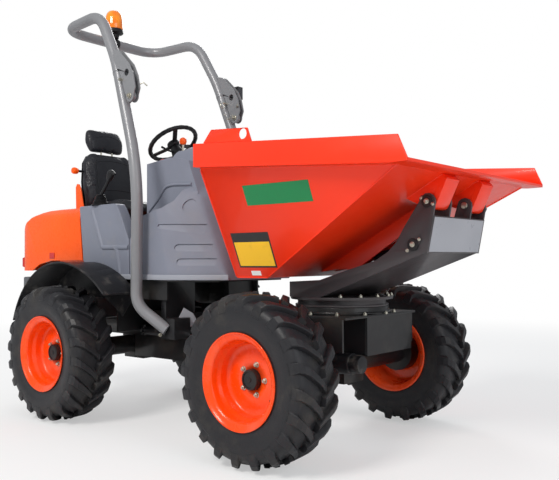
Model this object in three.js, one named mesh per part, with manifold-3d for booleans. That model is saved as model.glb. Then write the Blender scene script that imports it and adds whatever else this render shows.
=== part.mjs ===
// Site dumper: an articulated carrier with a swivelling, tipping skip.
// Millimetres. +X points ahead towards the skip, +Y to the driver's left, +Z up.
// The machine is drawn with x = 0 over the front axle, and the whole group is then shifted
// so that the origin lies on the ground under the middle of the machine.
import * as THREE from 'three';
import { mergeVertices } from 'three/addons/utils/BufferGeometryUtils.js';
import { ConvexGeometry } from 'three/addons/geometries/ConvexGeometry.js';
import Module from 'manifold-3d';

const wasm = await Module();
wasm.setup();

// ---- driving dimensions: running gear ----
const wheelbase = 1553;
const trackWidth = 1255;
const tyreRadius = 390;
const tyreHalfWidth = 132;
const rimFlangeRadius = 215;
const rimBarrelRadius = 190;
const rimHalfWidth = 128;
const rimWall = 6;
const rimDiscOffset = 21;
const rimDiscThickness = 10;
const hubRadius = 46;
const wheelSegments = 24;
const axleTubeRadius = 58;
const hubDrumRadius = 105;

// ---- driving dimensions: skip ----
const skipFloorHeight = 835;
const skipFloorHalfWidth = 430;
const skipFloorRearX = -305;
const skipFloorFrontX = -101;
const skipRimRearX = -335;
const skipRimRearHeight = 1367;
const skipRimFrontX = 735;
const skipRimFrontHeight = 1290;
const skipRimHalfWidth = 655;
const skipBandHalfWidth = 687;
const skipBandRise = 107;
const skipBandRearX = -345;
const skipBandFrontTopX = 772;
const skipBandFrontTopHeight = 1390;
const skipLipX = 812;
const skipLipHeight = 1300;
const skipWall = 8;
const liftingPlateRearX = -276;
const liftingPlateLength = 305;
const liftingPlateHeight = 62;
const liftingPlateHoleRadius = 24;

// ---- driving dimensions: swivel and tipping gear ----
const swivelX = 25;
const swivelDiscRadius = 262;
const swivelRingRadius = 238;
const swivelRingInnerRadius = 150;
const frontPlateTop = 653;
const swivelDiscTop = 737;
const tipPivotX = 660;
const tipPivotHeight = 1168;
const subframeHalfWidth = 256;
const subframePlate = 12;
const pivotPinRadius = 16;
const tipBaseX = 589;
const tipBaseHeight = 983;
const tipEyeX = 160;
const tipEyeHeight = 897;
const tipBarrelRadius = 40;
const tipRodRadius = 22;

// ---- driving dimensions: articulation and steering ----
const articulationPinRadius = 25;
const articulationTop = 625;
const articulationBottom = 395;
const yokePlate = 25;
const yokeGap = 10;
const yokeRadius = 75;
const steerBaseX = -1300;
const steerBaseY = -200;
const steerEyeX = -730;
const steerEyeY = -215;
const steerHeight = 500;
const steerBarrelRadius = 30;
const steerRodRadius = 15;

// ---- driving dimensions: rear body ----
const bodyHalfWidth = 400;
const frameHalfWidth = 378;
const sillBottom = 812;
const sillHeight = 30;
const sillDepth = 9;
const shellWall = 8;
const ledgeHeight = 1342;
const dashHalfWidth = 245;
const shoulderX = -850;
const noseX = -537;
const noseHalfWidth = 250;
const rearEndX = -2415;
const hoodTop = 1262;
const hoodFrontX = -1700;
const hoodRearX = -2400;
const hoodBottom = 858;
const mudguardRadius = 525;
const mudguardFrontRadius = 700;
const mudguardWall = 6;
const mudguardOuterY = 640;
const postRadius = 33;
const hoopRearX = -1905;
const hoopHeight = 2425;
const foldPivotX = -1125;
const foldPivotHeight = 1865;
const wheelRimRadius = 153;
const steeringWheelX = -1267;
const steeringWheelHeight = 1658;
const steeringTilt = THREE.MathUtils.degToRad(35);
const seatHalfWidth = 240;

// ---- clearances ----
const touchGap = 0.3;
const runningGap = 0.6;
const sideGap = 5;

// ---- places that follow from the driving dimensions ----
const rearAxleX = -wheelbase;
const articulationX = -wheelbase / 2;
const wheelY = trackWidth / 2;
const machineMidX = (skipLipX + rearEndX) / 2;

// ---- materials ----
function paint(color, roughness, metalness) {
  return new THREE.MeshStandardMaterial({ color, roughness, metalness });
}

const skipPaint = paint(0xf0481e, 0.4, 0.1);
const hoodPaint = paint(0xff641a, 0.35, 0.1);
const rimPaint = paint(0xff5a14, 0.4, 0.1);
const cowlPlastic = paint(0x787d8c, 0.55, 0);
const tubePaint = paint(0x828287, 0.4, 0.3);
const framePaint = paint(0x3c3a3d, 0.5, 0.2);
const chassisPaint = paint(0x1c1c1f, 0.55, 0.2);
const rubber = paint(0x232326, 0.85, 0);
const vinyl = paint(0x1e1f24, 0.6, 0);
const blackPlastic = paint(0x18181a, 0.5, 0);
const castIron = paint(0x55565a, 0.7, 0.4);
const chrome = paint(0xd0d2d6, 0.15, 1);
const zinc = paint(0xa9a79c, 0.4, 0.8);
const amber = paint(0xff9a1c, 0.25, 0);

// ---- geometry helpers ----
function outlineShape(points, holes = []) {
  const shape = new THREE.Shape(points.map(([a, b]) => new THREE.Vector2(a, b)));
  for (const [a, b, radius] of holes) {
    const hole = new THREE.Path();
    hole.absarc(a, b, radius, 0, Math.PI * 2, true);
    shape.holes.push(hole);
  }
  return shape;
}

function extrude(points, depth, holes) {
  const options = { depth, bevelEnabled: false, curveSegments: 8 };
  return new THREE.ExtrudeGeometry(outlineShape(points, holes), options);
}

// An outline in x and y, standing from bottom to top.
function slabXY(points, bottom, top, holes) {
  return extrude(points, top - bottom, holes).translate(0, 0, bottom);
}

// An outline in x and z, reaching across from y = right to y = left.
function slabXZ(points, right, left, holes) {
  return extrude(points, left - right, holes).rotateX(Math.PI / 2).translate(0, left, 0);
}

// An outline in y and z, reaching from x = rear to x = front.
function slabYZ(points, rear, front, holes) {
  const turn = new THREE.Matrix4().makeBasis(
    new THREE.Vector3(0, 1, 0), new THREE.Vector3(0, 0, 1), new THREE.Vector3(1, 0, 0));
  return extrude(points, front - rear, holes).applyMatrix4(turn).translate(rear, 0, 0);
}

function block(x0, x1, y0, y1, z0, z1) {
  const box = new THREE.BoxGeometry(x1 - x0, y1 - y0, z1 - z0);
  return box.translate((x0 + x1) / 2, (y0 + y1) / 2, (z0 + z1) / 2);
}

// A round bar between two points.
function bar(radius, from, to, sides = 16) {
  const start = new THREE.Vector3(...from);
  const along = new THREE.Vector3(...to).sub(start);
  const length = along.length();
  const turn = new THREE.Quaternion().setFromUnitVectors(new THREE.Vector3(0, 1, 0), along.normalize());
  const cylinder = new THREE.CylinderGeometry(radius, radius, length, sides).translate(0, length / 2, 0);
  return cylinder.applyQuaternion(turn).translate(...from);
}

// The points along a tube's middle: its ends, and a short curve at each corner. The curve
// starts and ends at the corner's own distance from it, listed in bends.
function bentPath(corners, bends, steps) {
  const points = corners.map((corner) => new THREE.Vector3(...corner));
  const path = [points[0]];
  for (let i = 1; i < points.length - 1; i += 1) {
    const bend = bends[i - 1];
    const towards = (other) => points[i].clone().add(other.clone().sub(points[i]).setLength(bend));
    const curve = new THREE.QuadraticBezierCurve3(towards(points[i - 1]), points[i], towards(points[i + 1]));
    path.push(...curve.getPoints(steps));
  }
  path.push(points[points.length - 1]);
  return path;
}

// A round tube swept along bent corner points, as rings of points joined by faces.
function bentTube(radius, corners, bends, sides = 12, steps = 5) {
  const path = bentPath(corners, bends, steps);
  const directions = path.map((point, i) => {
    const next = path[Math.min(i + 1, path.length - 1)];
    const last = path[Math.max(i - 1, 0)];
    const ahead = next.clone().sub(point).normalize();
    return ahead.add(point.clone().sub(last).normalize()).normalize();
  });
  let across = new THREE.Vector3(0, 0, 1).cross(directions[0]);
  if (across.length() < 0.1) across = new THREE.Vector3(0, 1, 0);
  const positions = [];
  path.forEach((point, i) => {
    across = across.clone().addScaledVector(directions[i], -across.dot(directions[i])).normalize();
    const other = directions[i].clone().cross(across);
    for (let k = 0; k < sides; k += 1) {
      const angle = (2 * Math.PI * k) / sides;
      const place = point.clone().addScaledVector(across, radius * Math.cos(angle));
      positions.push(...place.addScaledVector(other, radius * Math.sin(angle)).toArray());
    }
  });
  const faces = [];
  for (let i = 0; i < path.length - 1; i += 1) {
    for (let k = 0; k < sides; k += 1) {
      const [a, b] = [i * sides + k, i * sides + ((k + 1) % sides)];
      faces.push(a, b, b + sides, a, b + sides, a + sides);
    }
  }
  const end = (path.length - 1) * sides;
  for (let k = 1; k < sides - 1; k += 1) {
    faces.push(0, k + 1, k, end, end + k, end + k + 1);
  }
  const geometry = new THREE.BufferGeometry();
  geometry.setAttribute('position', new THREE.Float32BufferAttribute(positions, 3));
  geometry.setIndex(faces);
  return geometry;
}

// A ring turned about the y axis at x, z from a closed outline of [radius, y].
function turnedY(outline, x, z, segments = wheelSegments) {
  const points = outline.map(([radius, y]) => new THREE.Vector2(radius, y));
  points.push(points[0].clone());
  const lathe = new THREE.LatheGeometry(points, segments, Math.PI / segments);
  return lathe.translate(x, 0, z);
}

// The same about the vertical axis at x, y, from a closed outline of [radius, z].
function turnedZ(outline, x, y, segments = 24) {
  return turnedY(outline, 0, 0, segments).rotateX(Math.PI / 2).translate(x, y, 0);
}

function solid(geometry) {
  const bare = geometry.clone();
  for (const extra of ['normal', 'uv']) {
    if (bare.hasAttribute(extra)) bare.deleteAttribute(extra);
  }
  const merged = mergeVertices(bare, 1e-3);
  const mesh = new wasm.Mesh({
    numProp: 3,
    vertProperties: new Float32Array(merged.attributes.position.array),
    triVerts: new Uint32Array(merged.index.array),
  });
  return new wasm.Manifold(mesh);
}

function surface(manifold) {
  const { vertProperties, triVerts } = manifold.getMesh();
  const geometry = new THREE.BufferGeometry();
  geometry.setAttribute('position', new THREE.BufferAttribute(new Float32Array(vertProperties), 3));
  geometry.setIndex(new THREE.BufferAttribute(new Uint32Array(triVerts), 1));
  return geometry;
}

function joined(...shapes) {
  return surface(shapes.map(solid).reduce((whole, next) => whole.add(next)));
}

function cut(shape, ...tools) {
  return surface(tools.map(solid).reduce((whole, next) => whole.subtract(next), solid(shape)));
}

function common(...shapes) {
  return surface(shapes.map(solid).reduce((whole, next) => whole.intersect(next)));
}

// A shape reflected to the other side of the machine.
function mirrored(geometry) {
  const flipped = surface(solid(geometry)).scale(1, -1, 1);
  const order = flipped.index.array;
  for (let i = 0; i < order.length; i += 3) {
    [order[i], order[i + 1]] = [order[i + 1], order[i]];
  }
  return flipped;
}

const machine = new THREE.Group();
machine.position.x = -machineMidX;

function add(name, geometry, material) {
  const mesh = new THREE.Mesh(geometry, material);
  mesh.name = name;
  machine.add(mesh);
}

// Adds a right-hand piece and its left-hand mirror image.
function addPair(name, geometry, material) {
  add(`${name}_right`, geometry, material);
  add(`${name}_left`, mirrored(geometry), material);
}

// ---- wheels ----
const facetReach = 1 / Math.cos(Math.PI / wheelSegments);

// Gives an outline drawn on one side of a wheel's middle its other side as well.
function bothSides(outer, inner) {
  const opposite = ([radius, y]) => [radius, -y];
  const ring = [...outer.map(opposite), ...outer.slice().reverse(), ...inner, ...inner.map(opposite).reverse()];
  return ring.map(([radius, y]) => [radius * facetReach, y]);
}

function tyre(x) {
  const beadY = rimHalfWidth - 10 - touchGap;
  const outer = [
    [rimBarrelRadius + touchGap, beadY],
    [rimFlangeRadius + 4, beadY],
    [rimFlangeRadius + 40, tyreHalfWidth],
    [tyreRadius - 40, tyreHalfWidth - 3],
    [tyreRadius, tyreHalfWidth - 30],
  ];
  const inner = [
    [rimBarrelRadius + touchGap, beadY - 22],
    [rimFlangeRadius + 40, tyreHalfWidth - 18],
    [tyreRadius - 28, tyreHalfWidth - 36],
  ];
  return turnedY(bothSides(outer, inner), x, tyreRadius).translate(0, wheelY, 0);
}

function rim(x) {
  const barrelInside = rimBarrelRadius - rimWall;
  const flangeInside = rimHalfWidth - 10;
  const discInside = rimDiscOffset - rimDiscThickness;
  const bore = hubRadius + runningGap;
  const outline = [
    [barrelInside, -rimHalfWidth], [rimFlangeRadius, -rimHalfWidth],
    [rimFlangeRadius, -flangeInside], [rimBarrelRadius, -flangeInside],
    [rimBarrelRadius, flangeInside], [rimFlangeRadius, flangeInside],
    [rimFlangeRadius, rimHalfWidth], [barrelInside, rimHalfWidth],
    [barrelInside, rimDiscOffset], [bore, rimDiscOffset],
    [bore, discInside], [barrelInside, discInside],
  ].map(([radius, y]) => [radius * facetReach, y]);
  return turnedY(outline, x, tyreRadius).translate(0, wheelY, 0);
}

for (const [place, x] of [['front', 0], ['rear', rearAxleX]]) {
  for (const [side, turn] of [['left', (shape) => shape], ['right', mirrored]]) {
    add(`${place}_tyre_${side}`, turn(tyre(x)), rubber);
    add(`${place}_rim_${side}`, turn(rim(x)), rimPaint);
  }
}

// ---- axles ----
function axle(x) {
  const drumEnd = wheelY + rimDiscOffset - rimDiscThickness - runningGap;
  const drumStart = wheelY - 70;
  const spigotEnd = wheelY + rimDiscOffset + 14;
  const pieces = [
    bar(axleTubeRadius, [x, -drumStart - 5, tyreRadius], [x, drumStart + 5, tyreRadius]),
    block(x - 95, x + 95, -85, 85, tyreRadius - 90, tyreRadius + 80),
    block(x - 55, x + 55, -130, 130, tyreRadius, tyreRadius + 69),
  ];
  for (const side of [-1, 1]) {
    pieces.push(bar(hubDrumRadius, [x, side * drumStart, tyreRadius], [x, side * drumEnd, tyreRadius], 20));
    pieces.push(bar(hubRadius, [x, side * drumStart, tyreRadius], [x, side * spigotEnd, tyreRadius], 20));
  }
  return joined(...pieces);
}

const padTop = tyreRadius + 69;
add('front_axle', axle(0), chassisPaint);
add('rear_axle', axle(rearAxleX), chassisPaint);

// The hydraulic motor that stands ahead of the front axle.
function driveMotor() {
  const y = -150;
  const z = tyreRadius + 28;
  const from = axleTubeRadius + sideGap;
  return joined(
    block(from, from + 40, y - 55, y + 45, z - 60, z + 40),
    bar(52, [from + 30, y, z], [from + 130, y, z], 20),
    bar(42, [from + 120, y, z], [from + 185, y, z], 20));
}

add('drive_motor', driveMotor(), blackPlastic);

// ---- front chassis ----
const earBandWidth = 120;

function yokeEar(bottom, top) {
  const outline = [[-325, -earBandWidth], [-325, earBandWidth]];
  for (let i = 0; i <= 8; i += 1) {
    const angle = Math.PI / 2 + (Math.PI * i) / 8;
    outline.push([articulationX + yokeRadius * Math.cos(angle), yokeRadius * Math.sin(angle)]);
  }
  return slabXY(outline, bottom, top);
}

// A plate that carries the steering cylinder's rod eye beside the yoke.
function steeringArm(bottom, top) {
  const outline = [[-560, -90], [-660, -70]];
  for (let i = 0; i <= 6; i += 1) {
    const angle = Math.PI * (0.75 + i / 6);
    outline.push([steerEyeX + 28 * Math.cos(angle), steerEyeY + 28 * Math.sin(angle)]);
  }
  return slabXY(outline, bottom, top);
}

function frontFrame() {
  const plateBottom = frontPlateTop - 12;
  const eyeHalf = 14;
  const pieces = [
    slabXY([[-330, -250], [269, -317], [269, 317], [-330, 250]], plateBottom, frontPlateTop),
    block(238, 250, -110, 305, 455, plateBottom + 1),
    block(-330, -318, -250, 250, articulationBottom, plateBottom + 1),
    yokeEar(articulationTop - yokePlate, articulationTop),
    yokeEar(articulationBottom, articulationBottom + yokePlate),
    block(-650, -638, -70, 70, articulationBottom + 1, articulationTop - 1),
    bar(40, [articulationX, 0, articulationTop - 1], [articulationX, 0, articulationTop + 12]),
    bar(40, [articulationX, 0, articulationBottom - 12], [articulationX, 0, articulationBottom + 1]),
    steeringArm(steerHeight + eyeHalf + sideGap, steerHeight + eyeHalf + sideGap + 12),
    steeringArm(steerHeight - eyeHalf - sideGap - 12, steerHeight - eyeHalf - sideGap),
  ];
  for (const side of [-1, 1]) {
    const y = side * 110;
    pieces.push(block(-325, 245, y - 6, y + 6, padTop + touchGap, plateBottom + 1));
    pieces.push(block(60, 250, side * 311 - 6, side * 311 + 6, 490, plateBottom + 1));
    pieces.push(block(-640, -320, side * 82 - 6, side * 82 + 6, articulationBottom + 1, articulationTop - 1));
  }
  return joined(...pieces);
}

add('front_frame', frontFrame(), chassisPaint);

function articulationPin() {
  const bottom = articulationBottom + yokePlate + touchGap;
  const top = articulationTop - yokePlate - touchGap;
  return bar(articulationPinRadius, [articulationX, 0, bottom], [articulationX, 0, top], 20);
}

add('articulation_pin', articulationPin(), zinc);

// ---- slewing ring ----
const ringSplit = 688;

function ringFixed() {
  const inner = swivelRingInnerRadius;
  const outer = swivelRingRadius;
  const bottom = frontPlateTop + touchGap;
  const outline = [[inner, bottom], [outer + 14, bottom], [outer + 14, bottom + 10], [outer, bottom + 10],
    [outer, ringSplit - runningGap], [inner, ringSplit - runningGap]];
  return turnedZ(outline, swivelX, 0);
}

function ringTurning() {
  const inner = swivelRingInnerRadius;
  const outer = swivelRingRadius;
  const discBottom = swivelDiscTop - 15;
  const outline = [[inner, ringSplit], [outer, ringSplit], [outer, ringSplit + 10], [outer - 12, ringSplit + 10],
    [outer - 12, discBottom], [swivelDiscRadius, discBottom], [swivelDiscRadius, swivelDiscTop],
    [inner, swivelDiscTop]];
  return turnedZ(outline, swivelX, 0);
}

add('slew_ring_fixed', ringFixed(), chassisPaint);
add('slew_ring_turning', ringTurning(), framePaint);

// ---- skip subframe ----
// The round end of a plate about a point, from one angle to another in degrees.
function roundEnd(x, z, radius, fromDegrees, toDegrees, steps = 6) {
  const points = [];
  for (let i = 0; i <= steps; i += 1) {
    const angle = THREE.MathUtils.degToRad(fromDegrees + ((toDegrees - fromDegrees) * i) / steps);
    points.push([x + radius * Math.cos(angle), z + radius * Math.sin(angle)]);
  }
  return points;
}

function subframe() {
  const foot = swivelDiscTop + touchGap;
  const lugRadius = 36;
  const side = [
    [-110, foot], [75, foot], [655, 950], [684, 1100],
    ...roundEnd(tipPivotX, tipPivotHeight, lugRadius, -10, 165),
    [541, 1057], [500, 991], [458, 952], [389, 912], [223, 866], [154, 845], [77, 822], [-110, 812],
  ];
  const innerLug = [[500, 896], [655, 950], [684, 1100],
    ...roundEnd(tipPivotX, tipPivotHeight, lugRadius, -10, 175), [575, 1010], [500, 940]];
  const belly = [[60, foot], [75, foot], [655, 950], [647, 960], [60, 748]];
  const front = [[645, 945], [655, 945], [687, 1106], [676, 1106]];
  const reach = subframeHalfWidth;
  const pinHoles = [[tipPivotX, tipPivotHeight, pivotPinRadius + runningGap]];
  const sideHoles = [...pinHoles, [tipBaseX, tipBaseHeight, pivotPinRadius + runningGap]];
  const pieces = [
    slabXZ(belly, -reach + 1, reach - 1),
    slabXZ(front, -reach + 1, reach - 1),
    block(-109, -97, -reach + 1, reach - 1, foot, 811),
  ];
  for (const outward of [-1, 1]) {
    const outer = outward * (reach - subframePlate / 2);
    const inner = outward * 103;
    pieces.push(slabXZ(side, outer - subframePlate / 2, outer + subframePlate / 2, sideHoles));
    pieces.push(slabXZ(innerLug, inner - 6, inner + 6, sideHoles));
  }
  return joined(...pieces);
}

add('skip_subframe', subframe(), framePaint);

const pinReach = subframeHalfWidth + 8;
add('tip_pivot_pin_right', bar(pivotPinRadius, [tipPivotX, -pinReach, tipPivotHeight],
  [tipPivotX, -90, tipPivotHeight], 20), zinc);
add('tip_pivot_pin_left', bar(pivotPinRadius, [tipPivotX, 90, tipPivotHeight],
  [tipPivotX, pinReach, tipPivotHeight], 20), zinc);
add('tip_base_pin', bar(pivotPinRadius, [tipBaseX, -pinReach, tipBaseHeight],
  [tipBaseX, pinReach, tipBaseHeight], 20), zinc);

// ---- skip ----
const sideSlope = (skipRimHalfWidth - skipFloorHalfWidth) / (skipRimRearHeight - skipFloorHeight);
const frontSlope = (skipRimFrontHeight - skipFloorHeight) / (skipRimFrontX - skipFloorFrontX);

function frontSlopeHeight(x) {
  return skipFloorHeight + frontSlope * (x - skipFloorFrontX);
}

// The skip's hopper below its rim, drawn inwards by a wall's thickness.
function hopper(inset) {
  const slopeInset = inset * Math.hypot(1, frontSlope) / frontSlope;
  const sideInset = inset * Math.hypot(1, sideSlope);
  const floor = skipFloorHeight + inset;
  const floorShift = inset / frontSlope;
  const corner = (x, z) => {
    const y = skipFloorHalfWidth + sideSlope * (z - skipFloorHeight) - sideInset;
    return [new THREE.Vector3(x, -y, z), new THREE.Vector3(x, y, z)];
  };
  const lift = inset > 0 ? skipWall + 4 : 0;
  const topRear = skipRimRearHeight + lift;
  const topFront = skipRimFrontHeight + lift;
  const rearLean = (skipRimRearX - skipFloorRearX) / (skipRimRearHeight - skipFloorHeight);
  return new ConvexGeometry([
    ...corner(skipFloorRearX + inset + rearLean * inset, floor),
    ...corner(skipFloorFrontX - slopeInset + floorShift, floor),
    ...corner(skipRimFrontX - slopeInset + lift / frontSlope, topFront),
    ...corner(skipRimRearX + inset + rearLean * lift, topRear),
  ]);
}

function skipShell() {
  const band = [
    [skipBandRearX, skipRimRearHeight - 5], [skipRimFrontX, skipRimFrontHeight - 5],
    [skipLipX, skipLipHeight - 14], [skipLipX, skipLipHeight], [skipBandFrontTopX, skipBandFrontTopHeight],
    [skipBandRearX, skipRimRearHeight + skipBandRise],
  ];
  const bandSpace = [
    [skipBandRearX + skipWall, skipRimRearHeight + skipWall - 5], [skipRimFrontX, skipRimFrontHeight + skipWall - 5],
    [skipLipX + 50, skipLipHeight - 14 + skipWall + 9], [skipLipX + 50, skipRimRearHeight + 300],
    [skipBandRearX + skipWall, skipRimRearHeight + 300],
  ];
  const outer = joined(hopper(0), slabXZ(band, -skipBandHalfWidth, skipBandHalfWidth));
  const reach = skipBandHalfWidth - skipWall;
  return cut(outer, hopper(skipWall), slabXZ(bandSpace, -reach, reach));
}

add('skip', skipShell(), skipPaint);

// The eye plate that stands on the side band's top edge, flush with the band's outer face.
function liftingPlate() {
  const bandTopRear = skipRimRearHeight + skipBandRise;
  const bandLength = skipBandFrontTopX - skipBandRearX;
  const bandTop = (x) => bandTopRear + touchGap
    + ((skipBandFrontTopHeight - bandTopRear) * (x - skipBandRearX)) / bandLength;
  const front = liftingPlateRearX + liftingPlateLength;
  const outline = [
    [liftingPlateRearX, bandTop(liftingPlateRearX)], [front, bandTop(front)],
    [front - 25, bandTop(front - 25) + liftingPlateHeight],
    [liftingPlateRearX + 54, bandTop(liftingPlateRearX + 54) + liftingPlateHeight],
  ];
  const hole = [front - 52, bandTop(front - 52) + 35, liftingPlateHoleRadius];
  return slabXZ(outline, -skipBandHalfWidth, -skipBandHalfWidth + skipWall, [hole]);
}

addPair('skip_lifting_plate', liftingPlate(), skipPaint);

// The box bracket under the front slope that turns on a tipping pin.
function tipBracket() {
  const under = (x) => frontSlopeHeight(x) - touchGap * 2;
  const outline = [
    [545, under(545)], [600, 1160],
    ...roundEnd(tipPivotX, tipPivotHeight, 34, 190, 340),
    [742, 1262], [725, under(725)],
  ];
  const hole = [tipPivotX, tipPivotHeight, pivotPinRadius + runningGap];
  const outer = subframeHalfWidth - subframePlate - 8;
  return slabXZ(outline, -outer, -117, [hole]);
}

addPair('tip_bracket', tipBracket(), skipPaint);

// The plates under the skip that take the tipping cylinder's rod eye between them.
function cylinderBracket() {
  const under = (x) => frontSlopeHeight(x) - touchGap * 2;
  const outline = [[-60, under(-60)], [50, 872],
    ...roundEnd(tipEyeX, tipEyeHeight, 34, 240, 350), [430, 1040], [520, under(520)]];
  return slabXZ(outline, -62, -50);
}

addPair('cylinder_bracket', cylinderBracket(), skipPaint);

// ---- cylinders ----
// A barrel with its base eye; the eye's pin lies along the given direction.
function barrel(base, eye, radius, bore, length, eyeAxis, eyeHalf, pinRadius) {
  const start = new THREE.Vector3(...base);
  const along = new THREE.Vector3(...eye).sub(start).normalize();
  const at = (distance) => start.clone().addScaledVector(along, distance).toArray();
  const side = (distance) => start.clone().addScaledVector(eyeAxis, distance).toArray();
  const eyeRadius = radius * 0.85;
  const body = joined(
    bar(radius, at(eyeRadius), at(length), 20),
    bar(radius * 0.45, at(0), at(eyeRadius + 5), 12),
    bar(eyeRadius, side(-eyeHalf), side(eyeHalf), 20));
  return cut(body,
    bar(bore, at(eyeRadius + 12), at(length + 10), 16),
    bar(pinRadius, side(-eyeHalf - 10), side(eyeHalf + 10), 20));
}

function rod(base, eye, radius, start, eyeAxis, eyeHalf, eyeRadius) {
  const from = new THREE.Vector3(...base);
  const length = from.distanceTo(new THREE.Vector3(...eye));
  const along = new THREE.Vector3(...eye).sub(from).normalize();
  const at = (distance) => from.clone().addScaledVector(along, distance).toArray();
  const side = (distance) => new THREE.Vector3(...eye).addScaledVector(eyeAxis, distance).toArray();
  return joined(bar(radius, at(start), at(length), 16), bar(eyeRadius, side(-eyeHalf), side(eyeHalf), 16));
}

const crosswise = new THREE.Vector3(0, 1, 0);
const upright = new THREE.Vector3(0, 0, 1);
const tipBase = [tipBaseX, 0, tipBaseHeight];
const tipEye = [tipEyeX, 0, tipEyeHeight];
const steerBase = [steerBaseX, steerBaseY, steerHeight];
const steerEye = [steerEyeX, steerEyeY, steerHeight];
const tipBarrelLength = 350;
const steerBarrelLength = 335;

add('tip_cylinder_barrel', barrel(tipBase, tipEye, tipBarrelRadius, tipRodRadius + runningGap, tipBarrelLength,
  crosswise, 40, pivotPinRadius + runningGap), blackPlastic);
add('tip_cylinder_rod', rod(tipBase, tipEye, tipRodRadius, 60, crosswise, 38, 30), chrome);
add('steering_cylinder_barrel', barrel(steerBase, steerEye, steerBarrelRadius, steerRodRadius + runningGap,
  steerBarrelLength, upright, 14, 12 + runningGap), blackPlastic);
add('steering_cylinder_rod', rod(steerBase, steerEye, steerRodRadius, 170, upright, 14, 24), chrome);

// ---- rear chassis ----
function rearFrame() {
  const tongueBottom = articulationBottom + yokePlate + yokeGap;
  const tongueTop = articulationTop - yokePlate - yokeGap;
  const tongue = [[-895, -95], [articulationX - 20, -yokeRadius + 5]];
  tongue.push(...roundEnd(articulationX, 0, yokeRadius - 5, -90, 90, 10));
  tongue.push([articulationX - 20, yokeRadius - 5], [-895, 95]);
  const pinHole = [articulationX, 0, articulationPinRadius + runningGap];
  const floorTop = sillBottom - touchGap;
  const half = frameHalfWidth;
  const floor = [[-1330, -half], [-880, -half], [-600, -260], [-600, 260], [-880, half], [-1330, half]];
  const pieces = [
    slabXY(tongue, tongueBottom, tongueTop, [pinHole]),
    block(-1445, -890, -160, 160, 330, 620),
    slabXY(floor, floorTop - 10, floorTop),
    block(-1342, -1330, -half, half, 500, floorTop),
    block(-2302, -2290, -half, half, 470, floorTop),
    block(-1000, -880, -half, half, 560, 590),
  ];
  for (const side of [-1, 1]) {
    pieces.push(block(-2295, -1335, side * 145 - 20, side * 145 + 20, padTop + touchGap, 545));
    pieces.push(block(-2300, -890, side * (half - 5) - 5, side * (half - 5) + 5, 700, floorTop));
    pieces.push(block(-960, -920, side * 250 - 110, side * 250 + 110, 580, floorTop - 5));
    pieces.push(block(-960, -830, side * (half - 59) - 59, side * (half - 59) + 59, 485, 600));
    const earBottom = steerHeight + side * 25 - 6;
    const ear = [[steerBaseX - 20, -150], ...roundEnd(steerBaseX, steerBaseY, 20, 180, 360), [steerBaseX + 20, -150]];
    pieces.push(slabXY(ear, earBottom, earBottom + 12));
  }
  return joined(...pieces);
}

add('rear_frame', rearFrame(), chassisPaint);
add('steering_base_pin', bar(12, [steerBaseX, steerBaseY, steerHeight - 19 + touchGap],
  [steerBaseX, steerBaseY, steerHeight + 19 - touchGap], 20), zinc);
add('engine_block', block(-2220, -1790, -200, 200, 545.3, 1040), castIron);

function counterweight() {
  const front = -2302 - touchGap;
  const outline = [[front, -385], [front, 385], [rearEndX + 45, 385], [rearEndX, 330], [rearEndX, -330],
    [rearEndX + 45, -385]];
  return slabXY(outline, 560, sillBottom + 3);
}

add('counterweight', counterweight(), castIron);

// ---- cowl and dash ----
// The cowl's body below its ledge: wide at the sill, drawn in towards the skip, and leaning
// back all the way up so that the skip's rear corners pass it when the skip swivels.
function cowlNose(inset) {
  const half = bodyHalfWidth - inset;
  const level = (z, shoulderX, cornerX, cornerY, tipX, tipY) => {
    const right = [[-1190 - inset, half], [shoulderX - inset, half], [cornerX - inset, cornerY - inset],
      [tipX - inset, tipY]];
    return right.flatMap(([x, y]) => [new THREE.Vector3(x, -y, z), new THREE.Vector3(x, y, z)]);
  };
  return new ConvexGeometry([
    ...level(sillBottom - inset, shoulderX, noseX, noseHalfWidth, noseX, 90),
    ...level(ledgeHeight - 47 - inset, shoulderX - 137, -768, 240, -725, 80),
    ...level(ledgeHeight - inset, shoulderX - 160, -822, 230, -765, 80),
  ]);
}

function cowlSide(inset) {
  return slabXZ([
    [-1190 - inset * 2, sillBottom - inset * 2], [-400, sillBottom - inset * 2], [-400, ledgeHeight - inset],
    [-815 + inset, ledgeHeight - inset], [-850 + inset, 1322 - inset], [-880 + inset, 1255 - inset],
    [-930, 1215 - inset], [-1090, 1172 - inset], [-1190 - inset * 2, 1045 - inset],
  ], -bodyHalfWidth, bodyHalfWidth);
}

function dashBox(inset) {
  const rear = -1225 + inset;
  const outline = [[rear, 1180 - inset * 2], [rear, 1500 - inset], [-1010, 1522 - inset],
    [-860 - inset, 1490 - inset], [-800 - inset, 1350], [-760 - inset, 1250], [-900, 1180 - inset * 2]];
  return slabXZ(outline, -dashHalfWidth + inset, dashHalfWidth - inset);
}

function dashHump(inset) {
  const outline = [[-1115 + inset, 1500 - inset * 3], [-1080 + inset, 1560 - inset], [-1010, 1605 - inset],
    [-920, 1612 - inset], [-835 - inset, 1575 - inset], [-800 - inset, 1500 - inset], [-800 - inset, 1480 - inset * 3]];
  const dome = [[-175 + inset, 1400], [175 - inset, 1400], [172 - inset, 1500], [140 - inset, 1575 - inset],
    [80, 1614 - inset], [-80, 1614 - inset], [-140 + inset, 1575 - inset], [-172 + inset, 1500]];
  return common(slabXZ(outline, -200, 200), slabYZ(dome, -1200, -700));
}

function cowl() {
  const body = (inset) => joined(common(cowlNose(inset), cowlSide(inset)), dashBox(inset), dashHump(inset));
  const legSpace = block(-1250, -1005, -dashHalfWidth + 10, dashHalfWidth - 10, 780, 1195);
  return cut(body(0), body(shellWall), legSpace);
}

add('cowl', cowl(), cowlPlastic);

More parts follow.
